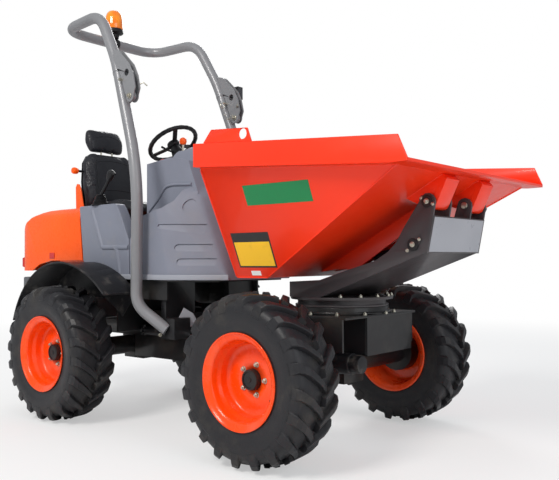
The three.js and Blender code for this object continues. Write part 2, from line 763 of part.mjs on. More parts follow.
function sill() {
  const top = sillBottom + sillHeight;
  const outer = bodyHalfWidth + sillDepth;
  const inner = bodyHalfWidth + touchGap;
  return slabXY([[-1440, -outer], [shoulderX + 2, -outer], [noseX + 4, -noseHalfWidth - 8.4],
    [noseX + 0.7, -noseHalfWidth - touchGap], [shoulderX + 0.5, -inner], [-1440, -inner]], sillBottom, top);
}

addPair('sill', sill(), cowlPlastic);

// ---- steering column and wheel ----
const wheelAxis = new THREE.Vector3(-Math.sin(steeringTilt), 0, Math.cos(steeringTilt));
const wheelCentre = new THREE.Vector3(steeringWheelX, 0, steeringWheelHeight);

function alongColumn(distance) {
  return wheelCentre.clone().addScaledVector(wheelAxis, distance).toArray();
}

const columnRadius = 26;
const columnTop = -26;

function steeringColumn() {
  const stalk = bar(columnRadius, alongColumn(-230), alongColumn(columnTop), 16);
  return cut(stalk, dashBox(0).translate(0, 0, touchGap));
}

add('steering_column', steeringColumn(), blackPlastic);

function steeringWheel() {
  const pieces = [new THREE.TorusGeometry(wheelRimRadius, 13, 6, 24)];
  pieces.push(bar(30, [0, 0, -24], [0, 0, 8], 16));
  for (const degrees of [90, 210, 330]) {
    const angle = THREE.MathUtils.degToRad(degrees);
    const end = [wheelRimRadius * Math.cos(angle), wheelRimRadius * Math.sin(angle), 0];
    pieces.push(bar(9, [0, 0, -6], end, 8));
  }
  const knob = THREE.MathUtils.degToRad(20);
  const at = [(wheelRimRadius - 2) * Math.cos(knob), (wheelRimRadius - 2) * Math.sin(knob)];
  pieces.push(bar(16, [...at, 5], [...at, 48], 12));
  const turn = new THREE.Quaternion().setFromUnitVectors(new THREE.Vector3(0, 0, 1), wheelAxis);
  return joined(...pieces).applyQuaternion(turn).translate(...wheelCentre.toArray());
}

add('steering_wheel', steeringWheel(), blackPlastic);

// ---- covers beside and under the seat ----
const panelSplitTopX = hoodFrontX + 8;
const archFront = [[-1652, 925], [-1636, 900], [-1590, 866], [-1529, 836], [-1440, sillBottom]];

function sidePanel() {
  const outline = [[-1193 - sideGap, sillBottom], [-1203, 1045], [-1290, 1215], [-1320, hoodTop - 8],
    [-1345, hoodTop], [panelSplitTopX, hoodTop], ...archFront];
  return slabXZ(outline, -bodyHalfWidth, -bodyHalfWidth + 70);
}

addPair('side_panel', sidePanel(), cowlPlastic);

const seatBoxTop = 1150;
const seatBoxHalfWidth = bodyHalfWidth - 70 - sideGap;

function seatBox() {
  const wall = shellWall;
  const outer = block(-2030, -1335, -seatBoxHalfWidth, seatBoxHalfWidth, sillBottom, seatBoxTop);
  const reach = seatBoxHalfWidth - wall;
  return cut(outer, block(-2050, -1335 - wall, -reach, reach, sillBottom - 10, seatBoxTop - wall));
}

add('seat_box', seatBox(), hoodPaint);

// ---- seat ----
const cushionBottom = 1205;
const cushionTop = 1300;
add('seat_base', block(-1880, -1440, -190, 190, seatBoxTop + touchGap, cushionBottom - touchGap), blackPlastic);
add('seat_cushion', block(-1830, -1385, -seatHalfWidth, seatHalfWidth, cushionBottom, cushionTop), vinyl);

function seatBack() {
  const outline = [[-1945, 1225], [-1838, 1225], [-1850, 1330], [-1905, 1655], [-1998, 1662]];
  return slabXZ(outline, -230, 230);
}

function headrest() {
  const outline = [[-2030, 1700], [-1945, 1690], [-1950, 1805], [-2015, 1816]];
  const stalk = (y) => bar(7, [-1958, y, 1661.7], [-1973, y, 1725], 8);
  return joined(slabXZ(outline, -140, 140), stalk(-45), stalk(45));
}

add('seat_back', seatBack(), vinyl);
add('headrest', headrest(), vinyl);

function driveLever() {
  const x = -1522;
  const y = -365;
  const z = hoodTop + touchGap;
  const bellows = new THREE.CylinderGeometry(16, 38, 62, 16).rotateX(Math.PI / 2).translate(x, y, z + 31);
  return joined(bellows, bar(8, [x, y, z + 55], [x + 45, y + 10, z + 150], 10),
    bar(17, [x + 40, y + 9, z + 140], [x + 62, y + 14, z + 192], 12));
}

add('drive_lever', driveLever(), blackPlastic);

// ---- engine hood ----
function hoodSide(inset) {
  const open = inset > 0 ? 40 : 0;
  return slabXZ([
    [hoodFrontX + open, hoodTop - inset], [-1660 + open, 925 - open], [-2010, 925 - open * 3],
    [-2150, 900 - open * 3], [-2235, hoodBottom - open * 2], [hoodRearX + inset, hoodBottom - open * 2],
    [hoodRearX + inset, 985], [hoodRearX + 15 + inset, 1090], [hoodRearX + 60 + inset, 1165 - inset],
    [hoodRearX + 140, 1215 - inset], [hoodRearX + 250, 1244 - inset], [hoodRearX + 380, hoodTop - inset],
  ].reverse(), -bodyHalfWidth + inset, bodyHalfWidth - inset);
}

function hoodSection(inset) {
  const half = bodyHalfWidth - inset;
  const top = hoodTop - inset;
  const corner = (sign) => [[sign * half, top - 75], [sign * (half - 12), top - 35], [sign * (half - 40), top - 8],
    [sign * (half - 80), top]];
  return slabYZ([[-half, 700], [half, 700], ...corner(1), ...corner(-1).reverse()], -2500, -1500);
}

function hoodPlan(inset) {
  const half = bodyHalfWidth - inset;
  const rear = hoodRearX + inset;
  const corner = (sign) => [[rear, sign * (half - 90)], [rear + 12, sign * (half - 45)],
    [rear + 45, sign * (half - 12)], [rear + 90, sign * half]];
  return slabXY([[-1500, -half], [-1500, half], ...corner(1).reverse(), ...corner(-1)], 600, 1400);
}

function hood() {
  const body = (inset) => common(hoodSide(inset), hoodSection(inset), hoodPlan(inset));
  const seatNotch = block(-2042, -1500, -seatHalfWidth - 25, seatHalfWidth + 25, 800, 1400);
  return cut(body(0), body(shellWall), seatNotch);
}

add('engine_hood', hood(), hoodPaint);

// ---- mudguards ----
// The rim follows the tyre at the back and turns into a flatter curve ahead of it.
function mudguardRim(inset) {
  const join = THREE.MathUtils.degToRad(80);
  const flatter = mudguardFrontRadius - mudguardRadius;
  const frontX = rearAxleX - flatter * Math.cos(join);
  const frontZ = tyreRadius - flatter * Math.sin(join);
  return [
    ...roundEnd(frontX, frontZ, mudguardFrontRadius - inset, 48, 76, 5),
    ...roundEnd(rearAxleX, tyreRadius, mudguardRadius - inset, 80, 162, 12),
  ];
}

function mudguard() {
  const outerRim = mudguardRim(0);
  const right = -bodyHalfWidth - sillDepth - touchGap;
  return joined(
    slabXZ([...outerRim, ...mudguardRim(mudguardWall).reverse()], -mudguardOuterY, right),
    slabXZ([...outerRim, ...mudguardRim(190).reverse()], right - mudguardWall, right));
}

addPair('mudguard', mudguard(), blackPlastic);

// ---- roll-over bar ----
const postTop = [-1261, -426, 2024];
const postBend = [-1040, -464, 1420];

// A point beyond the post's top, in line with it.
function beyondPost(distance) {
  const top = new THREE.Vector3(...postTop);
  const along = top.clone().sub(new THREE.Vector3(...postBend)).setLength(distance);
  return top.add(along).toArray();
}

function fixedLug() {
  const outline = [[-1196, 1800], [-1140, 1836], ...roundEnd(foldPivotX, foldPivotHeight, 28, -80, 90),
    [-1224, 1935], [-1206, 1860]];
  return slabXZ(outline, -440, -424, [[foldPivotX, foldPivotHeight, 10 + runningGap]]);
}

function post() {
  const foot = [-858.7, -360, 508];
  const tube = bentTube(postRadius, [foot, [-1052, -463, 672], postBend, postTop], [75, 250]);
  const frameSide = block(-1100, -700, -frameHalfWidth - touchGap, -200, 400, 700);
  return joined(cut(tube, frameSide), fixedLug());
}

addPair('rops_post', post(), tubePaint);

function movingBracket(right, left) {
  const seam = postTop[2] + 0.37 * postRadius;
  const outline = [[-1282, 2115], [-1262, seam + 4], [-1226, seam], [-1165, 1880],
    ...roundEnd(foldPivotX, foldPivotHeight, 34, 170, 365, 8), [-1086, 1884], [-1076, 1908],
    [-1094, 1985], [-1130, 2052], [-1232, 2150], [-1285, 2165]];
  return slabXZ(outline, right, left);
}

function hoop() {
  const right = [beyondPost(1), beyondPost(95), [-1476, -400, hoopHeight], [hoopRearX, -365, hoopHeight]];
  const left = right.map(([x, y, z]) => [x, -y, z]).reverse();
  const pieces = [bentTube(postRadius, [...right, ...left], [90, 120, 150, 150, 120, 90])];
  for (const side of [-1, 1]) {
    pieces.push(movingBracket(side * 432 - 20, side * 432 - 14));
    pieces.push(movingBracket(side * 432 + 14, side * 432 + 20));
    pieces.push(bar(10, [foldPivotX, side * 432 - 24, foldPivotHeight], [foldPivotX, side * 432 + 24,
      foldPivotHeight], 16));
  }
  return joined(...pieces);
}

add('rops_hoop', hoop(), tubePaint);

// ---- beacon and lamp ----
const beaconX = hoopRearX;
const beaconY = 22;
const tubeTop = hoopHeight + postRadius;
const beaconRadius = 64;
const lensFoot = tubeTop + 66;

add('beacon_base', joined(
  bar(40, [beaconX, beaconY, tubeTop + touchGap], [beaconX, beaconY, tubeTop + 36], 16),
  bar(beaconRadius - 2, [beaconX, beaconY, tubeTop + 34], [beaconX, beaconY, lensFoot], 20)), blackPlastic);

function beaconLens() {
  const foot = lensFoot + touchGap;
  const outline = [[0, foot], [beaconRadius - 1, foot], [beaconRadius - 3, foot + 70], [beaconRadius - 14, foot + 105],
    [beaconRadius - 36, foot + 126], [0, foot + 134]];
  const points = outline.map(([radius, z]) => new THREE.Vector2(radius, z));
  return new THREE.LatheGeometry(points, 16).rotateX(Math.PI / 2).translate(beaconX, beaconY, 0);
}

add('beacon_lens', beaconLens(), amber);
add('work_lamp', block(-1185, -1130, 452 + touchGap, 500, 2000, 2085), blackPlastic);

export default machine;
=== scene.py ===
# Site dumper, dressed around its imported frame: +X ahead towards the skip, +Y to the driver's left,
# +Z up, metres, ground at z = 0. Each section below is one piece or group of like pieces.
import math

import bmesh
import bpy
import numpy as np
from mathutils import Matrix, Vector
from mathutils.bvhtree import BVHTree


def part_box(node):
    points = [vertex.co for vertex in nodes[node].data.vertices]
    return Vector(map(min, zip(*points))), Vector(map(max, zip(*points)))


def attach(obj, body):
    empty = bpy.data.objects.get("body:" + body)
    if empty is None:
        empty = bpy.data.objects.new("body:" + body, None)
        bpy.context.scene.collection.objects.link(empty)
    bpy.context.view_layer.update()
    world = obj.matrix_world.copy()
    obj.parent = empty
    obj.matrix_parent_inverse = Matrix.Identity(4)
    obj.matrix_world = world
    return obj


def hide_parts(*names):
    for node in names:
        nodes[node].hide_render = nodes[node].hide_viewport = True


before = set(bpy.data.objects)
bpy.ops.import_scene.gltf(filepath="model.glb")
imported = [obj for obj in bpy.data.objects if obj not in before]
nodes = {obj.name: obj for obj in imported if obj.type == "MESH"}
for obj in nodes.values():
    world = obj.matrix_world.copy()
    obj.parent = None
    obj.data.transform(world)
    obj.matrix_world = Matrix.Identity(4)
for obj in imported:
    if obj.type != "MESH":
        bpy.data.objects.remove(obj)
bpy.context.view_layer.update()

# ---- camera ----
# A plain camera low beside the right front wheel, looking back along the machine.
# The viewpoint's heading, tilt and lean are angles, and the lens suits a 36 mm wide sensor.
eye = Vector((2.9648, -3.0173, 0.9191))
heading, tilt, lean = math.radians(40.25), math.radians(1.60), math.radians(-0.36)
ahead = Vector((-math.sin(heading) * math.cos(tilt), math.cos(heading) * math.cos(tilt), math.sin(tilt)))
level = Vector((math.cos(heading), math.sin(heading), 0))
upward = level.cross(ahead)
right = level * math.cos(lean) + upward * math.sin(lean)
upward = upward * math.cos(lean) - level * math.sin(lean)
camera_data = bpy.data.cameras.new("camera")
camera_data.sensor_width = 36
camera_data.lens = 46.23
camera = bpy.data.objects.new("camera", camera_data)
bpy.context.scene.collection.objects.link(camera)
camera.matrix_world = Matrix((
    (right.x, upward.x, -ahead.x, eye.x),
    (right.y, upward.y, -ahead.y, eye.y),
    (right.z, upward.z, -ahead.z, eye.z),
    (0, 0, 0, 1)))
bpy.context.scene.camera = camera
bpy.context.scene.view_settings.view_transform = "Standard"


# ---- floor and light ----
# A pale seamless floor and a white surround, lit by one broad lamp like an open sky with sun,
# a second from the left front and a third from behind for the edges.
def grid_faces(rows, columns, wrap_rows=False, wrap_columns=False):
    """Quads of a rows by columns grid of points: point (i, j) is number i * columns + j, and each
    quad joins (i, j), (i, j + 1), (i + 1, j + 1), (i + 1, j); wrapping joins the last to the first."""
    i = np.arange(rows if wrap_rows else rows - 1)[:, None]
    j = np.arange(columns if wrap_columns else columns - 1)[None, :]
    ni, nj = (i + 1) % rows, (j + 1) % columns
    corners = [i * columns + j, i * columns + nj, ni * columns + nj, ni * columns + j]
    return np.stack([np.broadcast_to(c, (i.size, j.size)) for c in corners], -1).reshape(-1, 4)


def mesh_object(name, points, faces, smooth=True):
    """A mesh object at the origin from an array of points and a list of faces."""
    mesh = bpy.data.meshes.new(name)
    mesh.from_pydata(np.asarray(points, float).tolist(), [], [list(map(int, f)) for f in faces])
    mesh.update()
    mesh.polygons.foreach_set("use_smooth", [smooth] * len(mesh.polygons))
    piece = bpy.data.objects.new(name, mesh)
    bpy.context.scene.collection.objects.link(piece)
    return piece


class Wire:
    """One output of a material's node tree, so that a pattern is written as arithmetic."""

    def __init__(self, tree, socket):
        self.tree, self.socket = tree, socket

    def math(self, operation, *values):
        """The Math node of that operation on these wires or numbers."""
        node = self.tree.nodes.new("ShaderNodeMath")
        node.operation = operation
        for slot, value in zip(node.inputs, values):
            feed(self.tree, slot, value)
        return Wire(self.tree, node.outputs[0])

    def __add__(self, other): return self.math("ADD", self, other)
    def __mul__(self, other): return self.math("MULTIPLY", self, other)

    def step(self, low, high):
        """0 below low and 1 above high, with a smooth rise between; high may be below low."""
        node = self.tree.nodes.new("ShaderNodeMapRange")
        node.interpolation_type = "SMOOTHSTEP"
        for name, value in (("Value", self), ("From Min", low), ("From Max", high)):
            feed(self.tree, node.inputs[name], value)
        return Wire(self.tree, node.outputs[0])


def feed(tree, slot, value):
    """Links a wire to an input, or sets a plain value on it."""
    if isinstance(value, Wire):
        tree.links.new(value.socket, slot)
    else:
        slot.default_value = value


class Finish:
    """A material under construction: patterns come from wire() and go into the shader by coat()."""

    def __init__(self, name):
        self.material = bpy.data.materials.new(name)
        self.material.use_nodes = True
        self.tree = self.material.node_tree
        self.shader = self.tree.nodes["Principled BSDF"]
        self.place = self.wire("ShaderNodeTexCoord", output="Object")

    def wire(self, kind, settings=None, output=0, **inputs):
        """A node of that type: its settings first, then its sockets' values or links."""
        node = self.tree.nodes.new(kind)
        for name, value in (settings or {}).items():
            setattr(node, name, value)
        for name, value in inputs.items():
            feed(self.tree, node.inputs[int(name[1:])] if name[0] == "_" else node.inputs[name], value)
        return Wire(self.tree, node.outputs[output])

    def noise(self, scale, detail=3.0, roughness=0.55):
        """Cloudy noise from about 0.3 to 0.7, with spots about 1 / scale metres wide."""
        return self.wire("ShaderNodeTexNoise", Vector=self.place, Scale=scale, Detail=detail,
                         Roughness=roughness)

    def height(self):
        """How high a point is above the ground, in metres."""
        return self.wire("ShaderNodeSeparateXYZ", output="Z", _0=self.place)

    def mix(self, first, second, factor):
        """A colour between two colours: the first where factor is 0, the second where it is 1."""
        return self.wire("ShaderNodeMix", {"data_type": "RGBA"}, output=2, _0=factor, _6=first, _7=second)

    def coat(self, colour, roughness, metallic=0.0, coat=0.0, bump=None, depth=0.001, strength=1.0):
        """Feeds the shader; bump is a height pattern whose full swing is depth metres."""
        feed(self.tree, self.shader.inputs["Base Color"], colour)
        feed(self.tree, self.shader.inputs["Roughness"], roughness)
        self.shader.inputs["Metallic"].default_value = metallic
        self.shader.inputs["Specular IOR Level"].default_value = 0.3
        self.shader.inputs["Coat Weight"].default_value = coat
        if bump is not None:
            relief = self.wire("ShaderNodeBump", Height=bump, Strength=strength, Distance=depth)
            feed(self.tree, self.shader.inputs["Normal"], relief)
        return self.material


def rgb(red, green, blue):
    """A display colour, 0 to 255, as the linear colour that a shader takes."""
    parts = [channel / 255 for channel in (red, green, blue)]
    linear = [p / 12.92 if p <= 0.04045 else ((p + 0.055) / 1.055) ** 2.4 for p in parts]
    return (*linear, 1.0)


def seamless_floor():
    """Pale grey that turns to plain white away from the object, and that the camera sees lifted
    towards white: white share = 0.45 near the middle, rising to 1 between 3.5 and 8 metres."""
    f = Finish("pale_floor")
    f.coat(rgb(236, 236, 236), 0.9)
    distance = f.wire("ShaderNodeVectorMath", {"operation": "LENGTH"}, output="Value", _0=f.place)
    seen = f.wire("ShaderNodeLightPath", output="Is Camera Ray")
    plain = f.wire("ShaderNodeEmission", Color=(1, 1, 1, 1), Strength=1.0)
    share = seen * (distance.step(3.5, 8.0) * 0.55 + 0.45)
    both = f.wire("ShaderNodeMixShader", _0=share, _1=Wire(f.tree, f.shader.outputs[0]), _2=plain)
    f.tree.links.new(both.socket, f.tree.nodes["Material Output"].inputs["Surface"])
    return f.material


floor_reach = 30
floor = mesh_object("floor", [(-floor_reach, -floor_reach, 0), (floor_reach, -floor_reach, 0),
                              (floor_reach, floor_reach, 0), (-floor_reach, floor_reach, 0)], [(0, 1, 2, 3)])
floor.data.materials.append(seamless_floor())

surround = bpy.data.worlds.new("surround")
bpy.context.scene.world = surround
surround.use_nodes = True
sky_nodes = surround.node_tree.nodes
sky_nodes["Background"].inputs["Color"].default_value = (0.93, 0.96, 1.0, 1)
sky_nodes["Background"].inputs["Strength"].default_value = 0.55
white = sky_nodes.new("ShaderNodeBackground")
white.inputs["Color"].default_value = (1, 1, 1, 1)
white.inputs["Strength"].default_value = 1.0
seen = sky_nodes.new("ShaderNodeLightPath")
pick = sky_nodes.new("ShaderNodeMixShader")
surround.node_tree.links.new(seen.outputs["Is Camera Ray"], pick.inputs["Fac"])
surround.node_tree.links.new(sky_nodes["Background"].outputs[0], pick.inputs[1])
surround.node_tree.links.new(white.outputs[0], pick.inputs[2])
surround.node_tree.links.new(pick.outputs[0], sky_nodes["World Output"].inputs["Surface"])


def lamp(name, place, target, size, power, colour):
    """A square area lamp at a place, turned to face a target point."""
    data = bpy.data.lights.new(name, "AREA")
    data.size = size
    data.energy = power
    data.color = colour
    light = bpy.data.objects.new(name, data)
    light.location = place
    light.rotation_euler = (Vector(target) - Vector(place)).to_track_quat("-Z", "Y").to_euler()
    bpy.context.scene.collection.objects.link(light)


lamp("sun_side", (0.6, -6.5, 6.0), (0, 0, 0.9), 2.4, 430, (1.0, 0.97, 0.93))
lamp("front_fill", (6.5, -1.5, 3.2), (0, 0, 1.0), 4.0, 110, (0.95, 0.97, 1.0))
lamp("back_rim", (-4.5, 4.5, 4.5), (0, 0, 1.2), 3.0, 170, (1.0, 1.0, 1.0))


# ---- painted sheet steel: finish shared by skip, frames, wheels and hood ----
# Sprayed enamel over steel plate: slightly uneven orange-peel gloss, faint dust that gathers
# low down, and small rubbed marks.
def enamel(name, colour, shade, gloss=0.34, dust=0.25, metallic=0.0):
    """Sprayed paint: colour drifts to shade in broad clouds, dust greys it towards the ground."""
    f = Finish(name)
    clouds = f.noise(2.2, 2.0).step(0.35, 0.68)
    grime = f.noise(5, 7.0).step(0.42, 0.78) * f.height().step(1.3, 0.2) * dust
    scuffs = f.noise(60, 4.0, 0.7).step(0.66, 0.74) * 0.25
    painted = f.mix(f.mix(colour, shade, clouds * 0.6), rgb(150, 138, 120), grime)
    peel = f.noise(420, 1.0) * 0.5 + f.noise(30, 3.0) * 0.5
    return f.coat(painted, f.noise(24, 4.0) * 0.16 + grime * 0.4 + scuffs + (gloss - 0.08), metallic, 0.15,
                  peel, 0.0006, 0.25)


skip_enamel = enamel("skip_enamel", rgb(248, 54, 16), rgb(238, 47, 13), 0.36, 0.1)
hood_enamel = enamel("hood_enamel", rgb(255, 94, 12), rgb(248, 84, 9), 0.28, 0.1)
rim_enamel = enamel("rim_enamel", rgb(255, 78, 8), rgb(242, 64, 6), 0.26, 0.2)
charcoal_enamel = enamel("charcoal_enamel", rgb(66, 62, 64), rgb(56, 53, 55), 0.42, 0.1)
black_enamel = enamel("black_enamel", rgb(22, 22, 24), rgb(16, 16, 18), 0.42, 0.12)
tube_enamel = enamel("tube_enamel", rgb(132, 133, 136), rgb(122, 123, 126), 0.36, 0.1, 0.15)
casting_enamel = enamel("casting_enamel", rgb(92, 94, 98), rgb(80, 82, 86), 0.5, 0.1)


def soften(name, width, material, segments=3, angle=28):
    """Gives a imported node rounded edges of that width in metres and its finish, by live modifiers."""
    piece = nodes[name]
    piece.data.materials.clear()
    piece.data.materials.append(material)
    weld = piece.modifiers.new("weld", "WELD")
    weld.merge_threshold = 0.0001
    bevel = piece.modifiers.new("edge", "BEVEL")
    bevel.width = width
    bevel.segments = segments
    bevel.limit_method = "ANGLE"
    bevel.angle_limit = math.radians(angle)
    bevel.harden_normals = True
    piece.data.polygons.foreach_set("use_smooth", [True] * len(piece.data.polygons))


for name in ("skip", "skip_lifting_plate_right", "skip_lifting_plate_left"):
    soften(name, 0.003, skip_enamel)
for name in ("tip_bracket_right", "tip_bracket_left", "cylinder_bracket_right", "cylinder_bracket_left"):
    soften(name, 0.002, skip_enamel)
for name in ("skip_subframe", "slew_ring_turning"):
    soften(name, 0.002, charcoal_enamel)
for name in ("front_frame", "rear_frame", "slew_ring_fixed", "front_axle", "rear_axle"):
    soften(name, 0.003, black_enamel)
for name in ("counterweight", "engine_block"):
    soften(name, 0.008, casting_enamel)
soften("engine_hood", 0.012, hood_enamel, 4)
soften("seat_box", 0.01, hood_enamel)


# ---- moulded plastic: cowl, sills, side panels, mudguards ----
# Rotation-moulded covers in through-coloured plastic, with a fine leather grain and soft edges; the sills
# are a lighter grey than the panels as a painted highlight along the ledge.
def moulding(name, colour, shade, roughness=0.5):
    """Grained plastic: small cells for the grain, broad clouds in the colour."""
    f = Finish(name)
    clouds = f.noise(3.0, 3.0).step(0.35, 0.7)
    dust = f.noise(12, 6.0).step(0.52, 0.75) * f.height().step(1.6, 0.4) * 0.3
    grain = f.noise(700, 2.0)
    return f.coat(f.mix(f.mix(colour, shade, clouds * 0.5), rgb(158, 152, 142), dust),
                  f.noise(40, 3.0) * 0.15 + (roughness - 0.07), 0.0, 0.0, grain, 0.0005, 0.35)


# The sills' lighter grey is a painted highlight: the light falling along the ledge, put into the colour.
sill_highlight_plastic = moulding("sill_highlight_plastic", rgb(150, 153, 162), rgb(138, 141, 150), 0.42)
grey_plastic = moulding("grey_plastic", rgb(124, 128, 141), rgb(112, 116, 129))
black_plastic = moulding("black_plastic", rgb(24, 24, 27), rgb(18, 18, 20), 0.42)
for name in ("sill_right", "sill_left"):
    soften(name, 0.004, sill_highlight_plastic)
for name in ("side_panel_right", "side_panel_left"):
    soften(name, 0.016, grey_plastic, 4)
for name in ("mudguard_right", "mudguard_left", "seat_base", "steering_column", "work_lamp",
             "drive_motor", "tip_cylinder_barrel", "steering_cylinder_barrel"):
    soften(name, 0.003, black_plastic)


# ---- bright metal: pins and cylinder rods ----
# Ground and chromed rods, zinc-plated pins: plain metal with a faint turned grain.
def bright_metal(name, colour, roughness):
    """Polished metal whose roughness wavers slightly."""
    f = Finish(name)
    return f.coat(f.mix(colour, rgb(150, 148, 142), f.noise(30, 4.0).step(0.45, 0.8) * 0.3),
                  f.noise(80, 3.0) * 0.2 + (roughness - 0.1), 1.0)


chromed = bright_metal("chromed_rod", rgb(225, 226, 230), 0.16)
plated = bright_metal("plated_pin", rgb(190, 186, 172), 0.36)
for name in ("tip_cylinder_rod", "steering_cylinder_rod"):
    soften(name, 0.001, chromed)
for name in ("articulation_pin", "tip_pivot_pin_right", "tip_pivot_pin_left", "tip_base_pin",
             "steering_base_pin"):
    soften(name, 0.002, plated)


# ---- tyres ----
# Cross-ply traction tyres: black rubber carcass with twenty slanted lugs each side that meet in
# a forward-pointing V, run over the shoulder and fade into the sidewall.
lugs_per_side = 20
lug_height = 0.027
lug_lead = 0.27
carcass = np.array([
    (0.190, 0.108), (0.206, 0.118), (0.222, 0.119), (0.232, 0.123), (0.238, 0.1225), (0.262, 0.129),
    (0.295, 0.132), (0.318, 0.130), (0.334, 0.125), (0.347, 0.115), (0.356, 0.098), (0.361, 0.070),
    (0.3635, 0.035), (0.364, 0.0)])


def revolve(name, profile, centre, turns=96, closed=True):
    """A profile of (radius, y) turned about the axle line through centre: point (i, j) is profile
    point i at angle j, at x = radius sin(angle) and z = radius cos(angle)."""
    profile = np.asarray(profile, float)
    angle = np.linspace(0, 2 * math.pi, turns, endpoint=False)
    radius, along = profile[:, :1], profile[:, 1:]
    points = np.stack([centre[0] + radius * np.sin(angle), centre[1] + along + 0 * angle,
                       centre[2] + radius * np.cos(angle)], -1).reshape(-1, 3)
    return mesh_object(name, points, grid_faces(len(profile), turns, closed, True))


def lug_block(side, number, centre):
    """One lug as a 9 by 6 grid of points. Along it v runs from the middle of the tread (0) over the
    shoulder to the sidewall (1); across it a wall, a top and a wall. The root follows the carcass,
    the top stands lug_height off it, fading over the last third."""
    v = np.linspace(0, 1, 9)
    arc = np.interp(v, [0, 0.62, 0.78, 1.0], [0, 0.104, 0.122, 0.131])
    root = np.interp(v, [0, 0.55, 0.70, 0.80, 0.9, 1.0], [0.361, 0.357, 0.349, 0.338, 0.324, 0.305])
    rise = lug_height * np.interp(v, [0, 0.6, 0.8, 0.92, 1.0], [1.0, 1.0, 0.72, 0.34, 0.04])
    outward = np.interp(v, [0, 0.5, 0.72, 1.0], [0, 0.15, 0.65, 0.98])
    top_radius = root + rise * np.sqrt(1 - outward ** 2)
    top_y = arc + rise * outward * 0.55
    turn = 2 * math.pi * (number + (0.5 if side > 0 else 0)) / lugs_per_side
    lead = turn - lug_lead * np.minimum(v / 0.72, 1.0) ** 0.85
    half_root = np.interp(v, [0, 0.6, 1.0], [0.021, 0.026, 0.031])
    half_top = np.interp(v, [0, 0.6, 1.0], [0.014, 0.020, 0.022])
    across = np.stack([-half_root, -half_top, -half_top * 0.5, half_top * 0.5, half_top, half_root], 1)
    is_root = np.array([1, 0, 0, 0, 0, 1])
    radius = np.where(is_root, (root - 0.004)[:, None], top_radius[:, None])
    along = np.where(is_root, arc[:, None] - 0.002, top_y[:, None])
    angle = lead[:, None] + across / radius
    return np.stack([centre[0] + radius * np.sin(angle), centre[1] + side * along,
                     centre[2] + radius * np.cos(angle)], -1).reshape(-1, 3)


def rubber_finish():
    """Black rubber, browner with dust in patches and darker in specks, with a fine noise bump."""
    f = Finish("tyre_rubber")
    dust = f.noise(9, 6.0, 0.65).step(0.46, 0.70)
    speck = f.noise(90, 3.0).step(0.5, 0.8)
    colour = f.mix(f.mix(rgb(34, 34, 37), rgb(68, 64, 58), dust * 0.4), rgb(17, 17, 19), speck * 0.5)
    return f.coat(colour, f.noise(14, 5.0) * 0.3 + 0.26, 0.0, 0.0, f.noise(160, 5.0, 0.7), 0.0016, 0.45)


tyre_rubber = rubber_finish()


def centre_of(node):
    """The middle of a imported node's box."""
    low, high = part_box(node)
    return tuple((low + high) / 2)


def tyre(place, side):
    """One tyre: a turned carcass, hollow inside, and two rows of lugs, each the other's mirror image."""
    name = f"{place}_tyre_{side}"
    centre = centre_of(name)
    outer = np.concatenate([carcass * (1, -1), carcass[-2::-1]])
    inner = np.array([(0.190, 0.085), (0.240, 0.100), (0.290, 0.112), (0.335, 0.098), (0.348, 0.0)])
    hollow = np.concatenate([inner, inner[-2::-1] * (1, -1)])
    piece = revolve(f"{place}_tyre_{side}_carcass", np.concatenate([outer, hollow]), centre, 120)
    points, faces = [], []
    for way in (-1, 1):
        for number in range(lugs_per_side):
            block = lug_block(way, number, centre)
            start = sum(len(p) for p in points)
            sheet = grid_faces(9, 6)
            if way > 0:
                sheet = sheet[:, ::-1]
            ends = [(0, 1, 2, 3, 4, 5), (53, 52, 51, 50, 49, 48)]
            if way > 0:
                ends = [tuple(reversed(e)) for e in ends]
            faces += [tuple(i + start for i in f) for f in sheet.tolist()]
            faces += [tuple(i + start for i in e) for e in ends]
            root = [tuple(start + i * 6 + k for k in (5, 0)) + tuple(start + (i + 1) * 6 + k for k in (0, 5))
                    for i in range(8)]
            faces += root if way < 0 else [tuple(reversed(f)) for f in root]
            points.append(block)
    lugs = mesh_object(f"{place}_tyre_{side}_lugs", np.concatenate(points), faces, smooth=False)
    edge = lugs.modifiers.new("worn_edge", "BEVEL")
    edge.width = 0.003
    edge.segments = 2
    edge.angle_limit = math.radians(40)
    for part in (piece, lugs):
        part.data.materials.append(tyre_rubber)
        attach(part, f"wheel_{place}_{side}")
    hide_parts(name)


for place in ("front", "rear"):
    for side in ("right", "left"):
        tyre(place, side)


# ---- rims ----
# Pressed steel drop-centre rims, welded disc, sprayed orange; five wheel nuts round the hub.
def rim(place, side):
    """One pressed rim: the outline of (radius, y) runs out along the face and back along the inside."""
    name = f"{place}_rim_{side}"
    centre = centre_of(name)
    way = -1 if side == "right" else 1
    outline = np.array([
        (0.047, 0.021), (0.090, 0.021), (0.118, 0.019), (0.130, 0.015), (0.150, 0.014), (0.161, 0.020),
        (0.164, 0.030), (0.165, 0.052), (0.167, 0.060), (0.176, 0.070), (0.178, 0.080), (0.179, 0.100),
        (0.183, 0.108), (0.192, 0.113), (0.203, 0.117), (0.210, 0.123), (0.2145, 0.1275), (0.216, 0.1255),
        (0.2155, 0.121), (0.209, 0.115), (0.200, 0.111), (0.191, 0.108), (0.187, 0.100), (0.185, 0.070),
        (0.174, 0.060), (0.172, 0.0), (0.185, -0.060), (0.187, -0.100), (0.191, -0.108), (0.207, -0.114),
        (0.2155, -0.121), (0.2145, -0.1275), (0.205, -0.122), (0.185, -0.113), (0.180, -0.100),
        (0.178, -0.060), (0.166, -0.010), (0.163, 0.006), (0.150, 0.004), (0.118, 0.009), (0.047, 0.011)])
    turned = outline * (1, way)
    piece = revolve(f"{name}_pressed", turned if way < 0 else turned[::-1], centre, 96)
    piece.data.materials.append(rim_enamel)
    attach(piece, f"wheel_{place}_{side}")
    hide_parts(name)


for place in ("front", "rear"):
    for side in ("right", "left"):
        rim(place, side)


